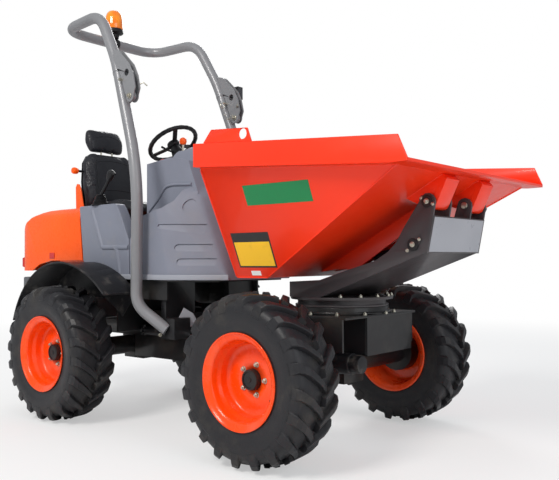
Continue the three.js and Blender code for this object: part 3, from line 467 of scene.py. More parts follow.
# ---- roll-over bar ----
# Powder-coated round tube bent to shape, hinged above the driver's shoulders: plate lugs on the
# posts, a plate bracket each side on the folding hoop, and a sprung pin on a chain to lock it.
axle_x = centre_of("front_tyre_right")[0]


def placed(points):
    """Points measured in metres from the front axle's line, moved to where the axle stands."""
    return np.asarray(points, float) + (axle_x, 0, 0)


def rounded_path(corners, bends, steps=10):
    """Straight runs with curved corners: at corner c the curve is (1-t)^2 p + 2t(1-t) c + t^2 q, where p and
    q lie at the corner's bend distance before and after it."""
    corners = np.asarray(corners, float)
    path = [corners[:1]]
    t = np.linspace(0, 1, steps)[:, None]
    for i, bend in enumerate(bends, 1):
        back, forth = corners[i - 1] - corners[i], corners[i + 1] - corners[i]
        p = corners[i] + back / np.linalg.norm(back) * bend
        q = corners[i] + forth / np.linalg.norm(forth) * bend
        path.append((1 - t) ** 2 * p + 2 * t * (1 - t) * corners[i] + t ** 2 * q)
    return np.concatenate([*path, corners[-1:]])


def tangents(path):
    """The unit direction of a path at each of its points."""
    along = np.gradient(path, axis=0)
    return along / np.linalg.norm(along, axis=1, keepdims=True)


def tube_faces(rows, around):
    """Faces of a closed tube of rows rings with around points each, with a flat face at both ends."""
    last = (rows - 1) * around
    walls = grid_faces(rows, around, False, True).tolist()
    return walls + [list(range(around))[::-1], list(range(last, last + around))]


def swept(path, radius, sides=24):
    """Rings round a path: point (i, k) = path i + radius i (cos a side + sin a up), with a = 2 pi k / sides
    and side and up carried along the path without twist. Returns points and faces with flat ends."""
    path = np.asarray(path, float)
    along = tangents(path)
    side = np.cross(along[0], (0.0, 0.0, 1.0) if abs(along[0][2]) < 0.9 else (0.0, 1.0, 0.0))
    sides_kept = []
    for direction in along:
        side = side - direction * side.dot(direction)
        side = side / np.linalg.norm(side)
        sides_kept.append(side)
    across = np.array(sides_kept)
    upward_set = np.cross(across, along)
    angle = np.linspace(0, 2 * math.pi, sides, endpoint=False)[None, :, None]
    radius = np.broadcast_to(np.asarray(radius, float), (len(path),))[:, None, None]
    points = path[:, None] + radius * (np.cos(angle) * across[:, None] + np.sin(angle) * upward_set[:, None])
    return points.reshape(-1, 3), tube_faces(len(path), sides)


def outward(piece):
    """Turns a piece's faces so that each closed part faces out, and shades it smooth but for edges
    sharper than 35 degrees."""
    work = bmesh.new()
    work.from_mesh(piece.data)
    bmesh.ops.recalc_face_normals(work, faces=work.faces)
    for edge in work.edges:
        edge.smooth = len(edge.link_faces) == 2 and edge.calc_face_angle(0) < math.radians(35)
    for face in work.faces:
        face.smooth = True
    work.to_mesh(piece.data)
    work.free()


def dress(name, parts, material, body, bevel=0.0, levels=2):
    """One piece from (points, faces) parts: its material, the CAD body it rides on, and softly rounded edges
    where bevel is above 0."""
    points, faces, start = [], [], 0
    for part_points, part_faces in parts:
        points.append(np.asarray(part_points, float).reshape(-1, 3))
        faces += [[int(i) + start for i in face] for face in part_faces]
        start += len(points[-1])
    piece = mesh_object(name, np.concatenate(points), faces)
    outward(piece)
    piece.data.materials.append(material)
    if bevel:
        edge = piece.modifiers.new("edge", "BEVEL")
        edge.width = bevel
        edge.segments = levels
        edge.angle_limit = math.radians(35)
        edge.harden_normals = True
    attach(piece, body)
    return piece


def plate(outline, near, far, hole=None):
    """A flat plate: an outline of (x, z), from y = near to y = far. A hole (x, z, radius) is ringed by one
    point for each outline point, on the line from the hole's middle to it."""
    outline = np.asarray(outline, float)
    n = len(outline)
    solid = np.concatenate([np.insert(outline, 1, y, axis=1) for y in (near, far)])
    walls = [[i, (i + 1) % n, n + (i + 1) % n, n + i] for i in range(n)]
    if hole is None:
        return solid, walls + [list(range(n))[::-1], list(range(n, 2 * n))]
    spoke = outline - hole[:2]
    ring = np.array(hole[:2]) + spoke / np.linalg.norm(spoke, axis=1, keepdims=True) * hole[2]
    rings = np.concatenate([np.insert(ring, 1, y, axis=1) for y in (near, far)])
    faces = walls + [[2 * n + (i + 1) % n, 2 * n + i, 3 * n + i, 3 * n + (i + 1) % n] for i in range(n)]
    for layer in (0, n):
        faces += [[layer + i, layer + (i + 1) % n, layer + 2 * n + (i + 1) % n, layer + 2 * n + i]
                  for i in range(n)]
    return np.concatenate([solid, rings]), faces


def resampled(outline, step):
    """The outline with extra points so that no side is longer than step."""
    outline = np.asarray(outline, float)
    out = []
    for a, b in zip(outline, np.roll(outline, -1, axis=0)):
        count = max(1, int(np.ceil(np.linalg.norm(b - a) / step)))
        out.append(a + (b - a) * np.linspace(0, 1, count, endpoint=False)[:, None])
    return np.concatenate(out)


def arc(x, z, radius, start, end, steps=10):
    """Points of a circle's arc in x and z, from start to end degrees."""
    angle = np.radians(np.linspace(start, end, steps))
    return np.stack([x + radius * np.cos(angle), z + radius * np.sin(angle)], 1)


def shifted(part, offset):
    """A part moved by an offset."""
    return np.asarray(part[0]) + offset, part[1]


def on_machine(parts, way=1):
    """Parts drawn from the front axle's line, moved to where it stands; way -1 mirrors them in y."""
    return [(np.asarray(points) * (1, way, 1) + (axle_x, 0, 0), faces) for points, faces in parts]


tube_radius = 0.033
hoop_height = 2.425
collar_radius = tube_radius + 0.0015
post_top, post_corner = np.array((-1.261, -0.426, 2.024)), np.array((-1.040, -0.464, 1.420))
fold_x, fold_z = -1.125, 1.865
rise = (post_top - post_corner) / np.linalg.norm(post_top - post_corner)
post_path = rounded_path([(-0.891, -0.377, 0.536), (-1.052, -0.463, 0.672), post_corner, post_top],
                         [0.075, 0.25], 14)
seam_path = [post_top + rise * d for d in (-0.009, -0.0005)]
hoop_right = [post_top + rise * 0.001, post_top + rise * 0.095, (-1.476, -0.400, hoop_height),
              (-1.905, -0.365, hoop_height)]
hoop_path = rounded_path([*hoop_right, *[np.array(p) * (1, -1, 1) for p in hoop_right[::-1]]],
                         [0.09, 0.12, 0.15, 0.15, 0.12, 0.09], 12)
lug_outline = np.concatenate([[(-1.196, 1.800), (-1.140, 1.836)], arc(fold_x, fold_z, 0.028, -80, 90),
                              [(-1.224, 1.935), (-1.206, 1.860)]])
bracket_outline = np.concatenate([[(-1.282, 2.115), (-1.262, 2.040), (-1.226, 2.0362), (-1.165, 1.880)],
                                  arc(fold_x, fold_z, 0.034, 170, 365, 14),
                                  [(-1.086, 1.884), (-1.076, 1.908), (-1.094, 1.985), (-1.130, 2.052),
                                   (-1.232, 2.150), (-1.285, 2.165)]])
for side, way in (("right", 1), ("left", -1)):
    post_parts = [swept(post_path, tube_radius), swept(seam_path, collar_radius),
                  plate(lug_outline, -0.440, -0.424)]
    post = dress(f"rops_post_{side}_tube", on_machine(post_parts, way), tube_enamel, "rear_chassis",
                 0.0015)
    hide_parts(f"rops_post_{side}")
hoop_parts = [swept(hoop_path, tube_radius)]
hoop_parts += [swept([(post_top + rise * d) * (1, way, 1) for d in (0.001, 0.008)], collar_radius)
               for way in (1, -1)]
for way in (1, -1):
    for near in (0.412, 0.446):
        low, high = sorted((way * near, way * (near + 0.006)))
        hoop_parts.append(plate(resampled(bracket_outline, 0.022), low, high, (-1.155, 2.005, 0.021)))
hoop = dress("rops_hoop_tube", on_machine(hoop_parts), tube_enamel, "rops", 0.0015)
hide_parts("rops_hoop")


# ---- roll-over bar: hinge bolts, lock pins and chain ----
# A hinge bolt with nut through each bracket, and above it the lock pin with a ring handle and a
# short chain, all bright zinc.
def spun(profile, sides=20):
    """A closed turned part: a profile of (radius, height) round the z axis, flat at both ends."""
    profile = np.asarray(profile, float)
    angle = np.linspace(0, 2 * math.pi, sides, endpoint=False)
    radius, height = profile[:, :1], profile[:, 1:]
    points = np.stack([radius * np.cos(angle), radius * np.sin(angle), height + 0 * angle], -1).reshape(-1, 3)
    return points, tube_faces(len(profile), sides)


def set_at(part, places, axis):
    """Copies of a part that stands along z, turned to stand along axis at each place."""
    points, faces = part
    turn = np.array(Vector(axis).to_track_quat("Z", "X").to_matrix())
    turned = np.asarray(points) @ turn.T
    places = np.asarray(places, float).reshape(-1, 3)
    count = len(turned)
    return ((places[:, None] + turned[None]).reshape(-1, 3),
            [[i + k * count for i in face] for k in range(len(places)) for face in faces])


def bolt_heads(places, axis, size):
    """A washer and a chamfered hexagon head of that width across, at each place."""
    r = size / 2
    washer = spun([(r * 1.25, 0), (r * 1.25, size * 0.12), (r * 1.18, size * 0.14)], 18)
    head = spun([(r, size * 0.13), (r, size * 0.52), (r * 0.82, size * 0.6)], 6)
    stud = spun([(r * 0.5, size * 0.58), (r * 0.5, size * 0.78), (r * 0.42, size * 0.83)], 12)
    return [set_at(part, places, axis) for part in (washer, head, stud)]


def ring(centre, radius, thickness, normal, turns=20):
    """A closed wire ring as a swept loop, its ends meeting."""
    angle = np.linspace(0, 2 * math.pi, turns + 1)
    flat = np.stack([radius * np.cos(angle), radius * np.sin(angle), 0 * angle], 1)
    turn = np.array(Vector(normal).to_track_quat("Z", "X").to_matrix())
    return swept(flat @ turn.T + centre, thickness, 8)


for side, way in (("right", -1), ("left", 1)):
    out = way * 0.452
    inner = way * 0.412
    parts = []
    for face, facing in ((out, way), (inner, -way)):
        parts += bolt_heads(placed([(fold_x, face, fold_z)]), (0, facing, 0), 0.026)
    lock = placed((-1.196, 0, 1.968))
    parts.append(swept([lock + (0, inner - way * 0.034, 0), lock + (0, inner - way * 0.030, 0),
                        lock + (0, out + way * 0.022, 0)], [0.006, 0.008, 0.008], 16))
    parts.append(ring(lock + (0, inner - way * 0.040, -0.018), 0.018, 0.0022, (1, 0, 0)))
    for k, t in enumerate(np.linspace(0, 1, 9)):
        sag = 0.05 * 4 * t * (1 - t)
        centre = placed((-1.196 + 0.066 * t, inner - way * (0.040 - 0.022 * t), 1.940 - 0.060 * t - sag))
        parts.append(ring(centre, 0.0065, 0.0014, (1, k % 2, 0.3), 10))
    clip_line = [(-1.100, inner - way * 0.004, 1.930), (-1.078, inner - way * 0.020, 1.945),
                 (-1.060, inner - way * 0.034, 1.925)]
    parts.append(swept(placed(clip_line), 0.004, 10))
    dress(f"fold_lock_{side}", parts, plated, "rops")


# ---- cowl ----
# One large moulded cover with pressed-in grip slots and a blank name recess each side. The slots are
# deepest along their straight top edge and run out to nothing below.
def skin_tree(piece):
    """A search tree over a piece's finished surface."""
    graph = bpy.context.evaluated_depsgraph_get()
    shown = piece.evaluated_get(graph)
    mesh = shown.to_mesh()
    tree = BVHTree.FromPolygons([v.co.copy() for v in mesh.vertices],
                                [tuple(p.vertices) for p in mesh.polygons])
    shown.to_mesh_clear()
    return tree


def recess(tree, x_range, top, bottom, depth, round_end, way, columns=28, rows=8):
    """A closed cutter that follows the cover: at (x, z) its inner skin lies depth * share below the cover's
    own surface, share falling from 1 at the top edge to 0 at the bottom for a slot and staying 1 for a
    recess; its outer skin stands 12 mm off. The left end is a half circle in outline."""
    left, right_end = x_range
    s = (1 - np.cos(np.linspace(0, math.pi, columns))) / 2
    xs = left + (right_end - left) * s
    inner, outer = [], []
    for x in xs:
        t = (x - left) / (right_end - left)
        high, low = top[0] + (top[1] - top[0]) * t, bottom[0] + (bottom[1] - bottom[0]) * t
        middle, half = (high + low) / 2, (high - low) / 2
        reach = min(x - left, right_end - x if round_end else 1.0) + 0.0008
        if reach < half:
            half = math.sqrt(max(0.0, half ** 2 - (half - reach) ** 2))
        for k in range(rows):
            share = k / (rows - 1)
            z = middle - half + 2 * half * share
            spot, normal, _, _ = tree.ray_cast(Vector((x + axle_x, way * 1.2, z)), Vector((0, -way, 0)))
            sink = depth if round_end else depth * max(0.02, share) ** 0.8
            inner.append(spot - normal * sink)
            outer.append(spot + normal * 0.012)
    count = columns * rows
    points = np.array([tuple(p) for p in inner + outer])
    sheet = grid_faces(columns, rows)
    faces = sheet.tolist() + (sheet + count)[:, ::-1].tolist()
    rim_loop = [i * rows for i in range(columns)] + [(columns - 1) * rows + k for k in range(1, rows)]
    rim_loop += [i * rows + rows - 1 for i in range(columns - 2, -1, -1)]
    rim_loop += range(rows - 2, 0, -1)
    faces += [[a, b, b + count, a + count] for a, b in zip(rim_loop, rim_loop[1:] + rim_loop[:1])]
    return points, faces


def eased_copy(source, name, step=0.03, rounds=7):
    """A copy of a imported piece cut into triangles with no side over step, whose shallow creases are eased by
    averaging each point with its neighbours; points on edges sharper than 60 degrees stay put."""
    work = bmesh.new()
    work.from_mesh(source.data)
    bmesh.ops.remove_doubles(work, verts=work.verts, dist=0.0001)
    kept = [edge for edge in work.edges if edge.calc_face_angle(0) > math.radians(60)]
    for edge in kept:
        edge.smooth = False
    bmesh.ops.triangulate(work, faces=work.faces)
    for _ in range(6):
        long_edges = [edge for edge in work.edges if edge.calc_length() > step]
        if long_edges:
            bmesh.ops.subdivide_edges(work, edges=long_edges, cuts=1)
            bmesh.ops.triangulate(work, faces=work.faces)
    free = [v for v in work.verts if all(edge.calc_face_angle(0) < math.radians(50) for edge in v.link_edges)]
    for _ in range(rounds):
        bmesh.ops.smooth_vert(work, verts=free, factor=0.6, use_axis_x=True, use_axis_y=True, use_axis_z=True)
    mesh = bpy.data.meshes.new(name)
    work.to_mesh(mesh)
    work.free()
    piece = bpy.data.objects.new(name, mesh)
    bpy.context.scene.collection.objects.link(piece)
    return piece


def carve(shell, cutters):
    """Takes the cutters out of a piece with exact booleans, for good."""
    tools = []
    for number, (points, faces) in enumerate(cutters):
        tool = mesh_object(f"{shell.name}_tool_{number}", points, faces, smooth=False)
        outward(tool)
        cutting = shell.modifiers.new("carve", "BOOLEAN")
        cutting.operation = "DIFFERENCE"
        cutting.solver = "EXACT"
        cutting.object = tool
        tools.append(tool)
    graph = bpy.context.evaluated_depsgraph_get()
    shell_mesh = bpy.data.meshes.new_from_object(shell.evaluated_get(graph))
    shell.modifiers.clear()
    shell.data = shell_mesh
    for tool in tools:
        bpy.data.objects.remove(tool)
    outward(shell)


cowl = eased_copy(nodes["cowl"], "cowl_moulding")
cowl_tree = skin_tree(cowl)
cowl_cutters = []
for way in (-1, 1):
    cowl_cutters += [
        recess(cowl_tree, (-0.945, -0.700), (1.124, 1.120), (1.100, 1.062), 0.007, False, way),
        recess(cowl_tree, (-0.838, -0.650), (1.010, 1.009), (0.971, 0.968), 0.007, False, way),
        recess(cowl_tree, (-0.818, -0.615), (0.931, 0.931), (0.891, 0.891), 0.007, False, way),
        recess(cowl_tree, (-0.832, -0.770), (1.266, 1.266), (1.184, 1.184), 0.006, True, way)]
carve(cowl, cowl_cutters)
cowl.data.materials.clear()
cowl.data.materials.append(grey_plastic)
edge = cowl.modifiers.new("edge", "BEVEL")
edge.width = 0.0025
edge.segments = 2
edge.angle_limit = math.radians(50)
edge.harden_normals = True
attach(cowl, "rear_chassis")
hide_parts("cowl")

lip_line = rounded_path([(-1.205, -0.247, 1.215), (-1.106, -0.247, 1.293), (-1.062, -0.247, 1.350),
                         (-1.000, -0.247, 1.361), (-0.830, -0.247, 1.352)], [0.05, 0.03, 0.03], 6)
dress("cowl_lips", on_machine([swept(lip_line * (1, way, 1), 0.009, 12) for way in (1, -1)]),
      grey_plastic, "rear_chassis")

# ---- side panels' pressed ribs ----
# A stepped raised rib runs down each side panel under the seat, moulded in one with it.
rib_line = rounded_path([(-1.560, -0.4, 1.232), (-1.455, -0.4, 1.001), (-1.330, -0.4, 1.000),
                         (-1.312, -0.4, 0.985), (-1.283, -0.4, 0.842)], [0.012, 0.008, 0.008], 5)
rib_branch = rounded_path([(-1.330, -0.4, 1.000), (-1.205, -0.4, 0.998)], [], 2)


def rib(path, half_width, height):
    """A low rounded rib along a path on the panel: across it the points are at -1, -0.5, 0, 0.5 and 1 half
    widths, standing 0, 0.8, 1, 0.8 and 0 heights off the panel, closed by a strip just inside."""
    path = np.asarray(path, float)
    along = tangents(path)
    sideways = np.cross(along, (0, 1.0, 0))
    share = np.array([-1, -0.55, 0, 0.55, 1, 0.8, -0.8])
    stand = np.array([0, 0.8, 1, 0.8, 0, -0.4, -0.4])
    points = (path[:, None] + sideways[:, None] * (share * half_width)[None, :, None]
              + np.array((0, -1.0, 0)) * (stand * height)[None, :, None])
    return points.reshape(-1, 3), tube_faces(len(path), len(share))


for side, way in (("right", 1), ("left", -1)):
    parts = [rib(rib_line, 0.015, 0.009), rib(rib_branch, 0.015, 0.009)]
    dress(f"panel_rib_{side}", on_machine(parts, way), grey_plastic, "rear_chassis")


# ---- beacon ----
# An amber dome with moulded ribs on a black rubber-based stem, clamped to the hoop's rear tube.
def lens_finish(name, colour, deep):
    """Clear-coated moulded plastic whose colour drifts to a deeper shade in cloudy streaks."""
    f = Finish(name)
    streak = f.noise(18, 2.0).step(0.3, 0.7)
    return f.coat(f.mix(colour, deep, streak * 0.7), f.noise(60, 2.0) * 0.08 + 0.06, 0.0, 0.8)


amber_lens = lens_finish("amber_lens", rgb(255, 150, 20), rgb(225, 92, 8))
red_lens = lens_finish("red_lens", rgb(205, 22, 18), rgb(150, 10, 10))
beacon_x, beacon_y = centre_of("beacon_lens")[:2]
lens_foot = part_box("beacon_lens")[0].z
lens_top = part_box("beacon_lens")[1].z
tall = lens_top - lens_foot
profile = np.array([(0.9, 0), (0.98, 0.01), (1.0, 0.05), (0.985, 0.3), (0.96, 0.5), (0.90, 0.68),
                    (0.78, 0.83), (0.58, 0.94), (0.33, 0.985), (0.08, 1.0)]) * (0.062, tall)
ribs = spun(profile, 72)
ribbed = np.asarray(ribs[0])
swing = np.arctan2(ribbed[:, 1], ribbed[:, 0])
wave = 1 + 0.012 * np.cos(24 * swing)
ribbed = ribbed * np.stack([wave, wave, np.ones_like(wave)], 1)
dome = dress("beacon_dome", [(ribbed + (beacon_x, beacon_y, lens_foot), ribs[1])], amber_lens, "rops")
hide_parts("beacon_lens")
stand = hoop_height + tube_radius
collar = spun([(0.060, 0.040), (0.064, 0.044), (0.064, 0.060), (0.061, 0.0655)], 40)
stem = spun([(0.030, 0.004), (0.033, 0.010), (0.036, 0.030), (0.055, 0.041)], 32)
base_parts = [
    shifted(collar, (beacon_x, beacon_y, stand)),
    shifted(stem, (beacon_x, beacon_y, stand)),
    swept([(beacon_x, beacon_y + y, hoop_height) for y in (-0.026, 0.026)], tube_radius + 0.004, 32)]
for turn in (-1, 1):
    base_parts += bolt_heads([(beacon_x + turn * 0.043, beacon_y, stand + 0.006)], (0, 0, 1), 0.012)
beacon_base = dress("beacon_clamp", base_parts, black_plastic, "rops", 0.001)
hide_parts("beacon_base")


# ---- work lamp ----
# A square black work lamp on the left bracket, with a ribbed clear face towards the skip.
lamp_low, lamp_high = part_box("work_lamp")
glass_finish = Finish("lamp_glass")
lamp_glass = glass_finish.coat(glass_finish.mix(rgb(70, 73, 78), rgb(44, 46, 50), glass_finish.noise(90)),
                               0.12, 0.0, 0.9)
rows = np.linspace(lamp_low.y + 0.006, lamp_high.y - 0.006, 9)
face_parts = [swept([(lamp_high.x + 0.001, y, lamp_low.z + 0.008),
                     (lamp_high.x + 0.001, y, lamp_high.z - 0.008)], 0.0024, 8)
              for y in rows]
dress("work_lamp_glass", face_parts, lamp_glass, "rops")

# ---- seat ----
# A vinyl-covered suspension seat: crowned cushion and back with raised side rolls, sewn panels, and a
# separate headrest. The foam fills the cover tightly.
def vinyl_finish():
    """Black vinyl: fine pebble grain over soft creases, a little dust in patches."""
    f = Finish("seat_vinyl")
    dust = f.noise(7, 6.0).step(0.45, 0.8) * 0.35
    pebble = f.wire("ShaderNodeTexVoronoi", output="Distance", Vector=f.place, Scale=620.0)
    creases = f.noise(26, 5.0, 0.6)
    return f.coat(f.mix(rgb(24, 25, 31), rgb(44, 44, 50), dust), f.noise(22, 3.0) * 0.2 + 0.40, 0.0, 0.1,
                  pebble * 0.5 + creases * 0.35, 0.0010, 0.4)


seat_vinyl = vinyl_finish()


def lofted(name, rings):
    """A closed piece through rings of equal point count, with flat end caps."""
    rings = np.asarray(rings, float)
    piece = mesh_object(name, rings.reshape(-1, 3), tube_faces(*rings.shape[:2]))
    outward(piece)
    return piece


def filled(piece, reach=0.010):
    """The cover blown up by its filling: voxel remeshed, run as cloth under pressure for 20 frames without
    gravity, each point's move capped at reach, and the result kept as the mesh."""
    cells = piece.modifiers.new("cells", "REMESH")
    cells.mode = "VOXEL"
    cells.voxel_size = 0.006
    shown = piece.evaluated_get(bpy.context.evaluated_depsgraph_get())
    piece.data = bpy.data.meshes.new_from_object(shown)
    piece.modifiers.clear()
    before = np.empty(len(piece.data.vertices) * 3)
    piece.data.vertices.foreach_get("co", before)
    cloth = piece.modifiers.new("fill", "CLOTH")
    cloth.settings.use_pressure = True
    cloth.settings.uniform_pressure_force = 4
    cloth.settings.effector_weights.gravity = 0
    cloth.settings.quality = 4
    cloth.point_cache.frame_start, cloth.point_cache.frame_end = 1, 20
    for number in range(1, 21):
        bpy.context.scene.frame_set(number)
    shown = piece.evaluated_get(bpy.context.evaluated_depsgraph_get())
    after = np.empty_like(before)
    shown.data.vertices.foreach_get("co", after)
    move = (after - before).reshape(-1, 3)
    length = np.linalg.norm(move, axis=1, keepdims=True)
    move *= np.minimum(1, reach / np.maximum(length, 1e-9))
    piece.modifiers.clear()
    bpy.context.scene.frame_set(1)
    piece.data.vertices.foreach_set("co", (before.reshape(-1, 3) + move).ravel())
    piece.data.update()
    piece.data.polygons.foreach_set("use_smooth", [True] * len(piece.data.polygons))
    smooth = piece.modifiers.new("smooth", "SUBSURF")
    smooth.levels = smooth.render_levels = 1


def section(across, thick, roll, crown, around=44):
    """One cross-section of a pad: (across, outwards) points of a rounded slab. With a the angle, across is
    w sign(cos a)|cos a|^0.45 and outwards t sign(sin a)|sin a|^0.6; the front gains a crown in the
    middle and a roll near each side."""
    a = np.linspace(0, 2 * math.pi, around, endpoint=False)
    u = np.sign(np.cos(a)) * np.abs(np.cos(a)) ** 0.45
    v = np.sign(np.sin(a)) * np.abs(np.sin(a)) ** 0.6
    front = np.clip(np.sin(a) * 3, 0, 1)
    bulge = roll * np.exp(-((np.abs(u) - 0.83) / 0.13) ** 2) + crown * np.exp(-(u / 0.5) ** 2)
    return np.stack([across * u, thick * v + front * bulge], 1)


def pad(name, stations, node, seams):
    """A pad from stations of (middle, facing, half width, half thickness, roll, crown): a section set at
    each middle with its outwards along facing. Seams are lists of (middle, across) laid on its face."""
    rings = []
    for middle, facing, width, thick, roll, crown in stations:
        flat = section(width, thick, roll, crown)
        facing = np.array(facing, float) / np.linalg.norm(facing)
        rings.append(placed(middle) + flat[:, :1] * (0, 1, 0) + flat[:, 1:] * facing)
    piece = lofted(name, rings)
    filled(piece)
    piece.data.materials.append(seat_vinyl)
    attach(piece, "rear_chassis")
    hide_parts(node)
    tree = skin_tree(piece)
    lines = []
    for facing, points in seams:
        direction = Vector(facing).normalized()
        path = []
        for point in points:
            start = Vector(placed(point)) + direction * 0.3
            spot, normal, _, _ = tree.ray_cast(start, -direction)
            if spot is not None:
                path.append(tuple(spot - normal * 0.0006))
        lines.append(swept(path, 0.0032, 8))
    dress(f"{name}_piping", lines, seat_vinyl, "rear_chassis")


def eased(count, low=0.0, high=1.0):
    """Numbers from low to high that crowd towards both ends."""
    return low + (high - low) * (1 - np.cos(np.linspace(0, math.pi, count))) / 2


def shrink(t, power=0.35, least=0.35):
    """1 along the middle of a pad, and less towards its ends at t = 0 and t = 1."""
    return least + (1 - least) * min(1.0, 2.2 * min(t, 1 - t)) ** power


cushion_stations = []
for t in eased(16):
    x = -1.815 + 0.42 * t
    thick = 0.043 * shrink(t, 0.5, 0.3)
    droop = -0.012 * max(0, (t - 0.75) / 0.25) ** 2
    cushion_stations.append(((x, 0, 1.250 + droop), (0, 0, 1), 0.232 * shrink(t, 0.25, 0.82), thick,
                             0.022 * shrink(t), 0.004))
cushion_seams = [((0, 0, 1), [(x, sign * 0.150, 1.3) for x in np.linspace(-1.79, -1.42, 24)])
                 for sign in (-1, 1)]
cushion_seams += [((0, 0, 1), [(x, y, 1.3) for y in np.linspace(-0.148, 0.148, 20)]) for x in (-1.70, -1.50)]
pad("cushion_pad", cushion_stations, "seat_cushion", cushion_seams)

back_facing = (0.985, 0, 0.17)
back_stations = []
for t in eased(20):
    z = 1.232 + 0.422 * t
    x = np.interp(z, [1.23, 1.33, 1.654], [-1.893, -1.893, -1.950])
    width = np.interp(t, [0, 0.12, 0.5, 0.82, 0.94, 1], [0.195, 0.222, 0.226, 0.208, 0.184, 0.150])
    back_stations.append(((x, 0, z), back_facing, width, 0.042 * shrink(t, 0.5, 0.35), 0.030 * shrink(t),
                          0.004))
back_seams = [(back_facing, [(-1.9, sign * np.interp(z, [1.26, 1.45, 1.60], [0.125, 0.145, 0.125]), z)
                             for z in np.linspace(1.26, 1.60, 26)]) for sign in (-1, 1)]
back_seams.append((back_facing, [(-1.9, y, 1.605 - 0.9 * y ** 2) for y in np.linspace(-0.165, 0.165, 24)]))
back_seams.append((back_facing, [(-1.9, y, 1.395 - 0.5 * y ** 2) for y in np.linspace(-0.138, 0.138, 20)]))
pad("back_pad", back_stations, "seat_back", back_seams)

rest_facing = (0.96, 0, 0.28)
rest_stations = []
for t in eased(14):
    z = 1.669 + 0.150 * t
    rest_stations.append(((-1.966 - 0.045 * t, 0, z), rest_facing, 0.143 * shrink(t, 0.3, 0.8),
                          0.043 * shrink(t, 0.5, 0.4), 0.0, 0.006))
rest_seams = [(rest_facing, [(-1.98, y, 1.775 - 2.2 * y ** 2) for y in np.linspace(-0.095, 0.095, 22)])]
pad("headrest_pad", rest_stations, "headrest", rest_seams)

# ---- seat: posts, back shell, recliner and belt ----
# Steel headrest posts, a moulded shell behind the back, an orange recline knob and side bracket on the
# right, and a lap belt with a red-buttoned buckle lying across the cushion's rear.
dress("headrest_posts", [swept(placed([(-1.955, y, 1.625), (-1.968, y, 1.715)]), 0.006, 12)
                         for y in (-0.045, 0.045)],
      plated, "rear_chassis")
shell_rings = []
for x, z, width in ((-1.944, 1.26, 0.190), (-1.946, 1.30, 0.205), (-1.955, 1.45, 0.210),
                    (-1.975, 1.58, 0.190), (-1.988, 1.635, 0.150)):
    flat = section(width, 0.006, 0, 0, 36)
    shell_rings.append(placed((x, 0, z)) + flat[:, :1] * (0, 1, 0) + flat[:, 1:] * (1, 0, 0))
dress("back_shell", [(np.concatenate(shell_rings), tube_faces(5, 36))], black_plastic, "rear_chassis",
      0.001)
knob = spun([(0.012, 0), (0.020, 0.004), (0.022, 0.014), (0.022, 0.030), (0.018, 0.038), (0.009, 0.041)], 24)
dress("recliner_knob", [set_at(knob, placed([(-1.935, -0.250, 1.520)]), (0, -1, 0))], hood_enamel,
      "rear_chassis")
dress("recliner_stem", [swept(placed([(-1.935, -0.205, 1.520), (-1.935, -0.251, 1.520)]), 0.008, 14)],
      black_plastic, "rear_chassis")
fin = plate([(-1.935, 1.252), (-1.845, 1.252), (-1.862, 1.300), (-1.888, 1.402), (-1.905, 1.428),
             (-1.925, 1.432), (-1.940, 1.410)], -0.262, -0.252)
dress("seat_side_bracket", on_machine([fin]), hood_enamel, "rear_chassis", 0.002)


def strap(path, half_width, thickness, widthways):
    """A flat strap along a path: four corners at each point, half_width to each side along widthways and
    thickness between its faces."""
    path = np.asarray(path, float)
    along = tangents(path)
    wide = np.array(widthways, float)
    thin = np.cross(along, wide)
    thin /= np.linalg.norm(thin, axis=1, keepdims=True)
    points = np.stack([path + a * half_width * wide + b * thickness / 2 * thin
                       for a, b in ((-1, -1), (1, -1), (1, 1), (-1, 1))], 1)
    return points.reshape(-1, 3), tube_faces(len(path), 4)


def rectangle(x0, x1, z0, z1):
    """The four (x, z) corners of a rectangle."""
    return [(x0, z0), (x1, z0), (x1, z1), (x0, z1)]


def webbing_finish():
    """Woven belt webbing: fine ribs across, charcoal."""
    f = Finish("belt_webbing")
    weave = f.wire("ShaderNodeTexWave", {"wave_type": "BANDS"}, output="Color", Vector=f.place, Scale=260.0)
    return f.coat(rgb(30, 30, 33), 0.8, 0.0, 0.0, weave, 0.0006, 0.6)


belt_webbing = webbing_finish()
cushion_tree = skin_tree(bpy.data.objects["cushion_pad"])
belt_path = []
for y in np.linspace(-0.225, 0.225, 40):
    spot, normal, _, _ = cushion_tree.ray_cast(Vector(placed((-1.77, y, 1.5))), Vector((0, 0, -1)))
    belt_path.append(tuple(spot + Vector((0, 0, 0.002)))
                     if spot is not None else tuple(placed((-1.77, y, 1.27))))
belt_path = np.array(belt_path)
belt_path[1:-1, 2] = (belt_path[:-2, 2] + belt_path[1:-1, 2] + belt_path[2:, 2]) / 3 + 0.001
dress("lap_belt", [strap(belt_path, 0.024, 0.0016, (1, 0, 0))], belt_webbing, "rear_chassis")
buckle_at = belt_path[27]
buckle = plate([(-0.03, -0.002), (0.03, -0.002), (0.034, 0.006), (0.028, 0.014), (-0.028, 0.014),
                (-0.034, 0.006)],
               -0.022, 0.022)
dress("belt_buckle", [(np.asarray(buckle[0])[:, [1, 0, 2]] + buckle_at, buckle[1])], black_plastic,
      "rear_chassis", 0.002)
button = plate(rectangle(-0.009, 0.009, 0.013, 0.0155), -0.013, 0.013)
dress("buckle_button", [(np.asarray(button[0])[:, [1, 0, 2]] + buckle_at + (0, 0.014, 0), button[1])],
      red_lens, "rear_chassis", 0.0008)


# ---- steering wheel and column ----
# A padded black rim on three flat spokes with a domed hub cap, and an orange knob on a stem from the dash;
# below it the column shroud with a turn switch, and a red stop button on the dash.
wheel_centre = placed((-1.267, 0, 1.658))
column_tilt = math.radians(35)
column_axis = np.array((-math.sin(column_tilt), 0, math.cos(column_tilt)))
column_ahead = np.array((math.cos(column_tilt), 0, math.sin(column_tilt)))
column_basis = np.stack([column_ahead, (0.0, 1.0, 0.0), column_axis], 1)


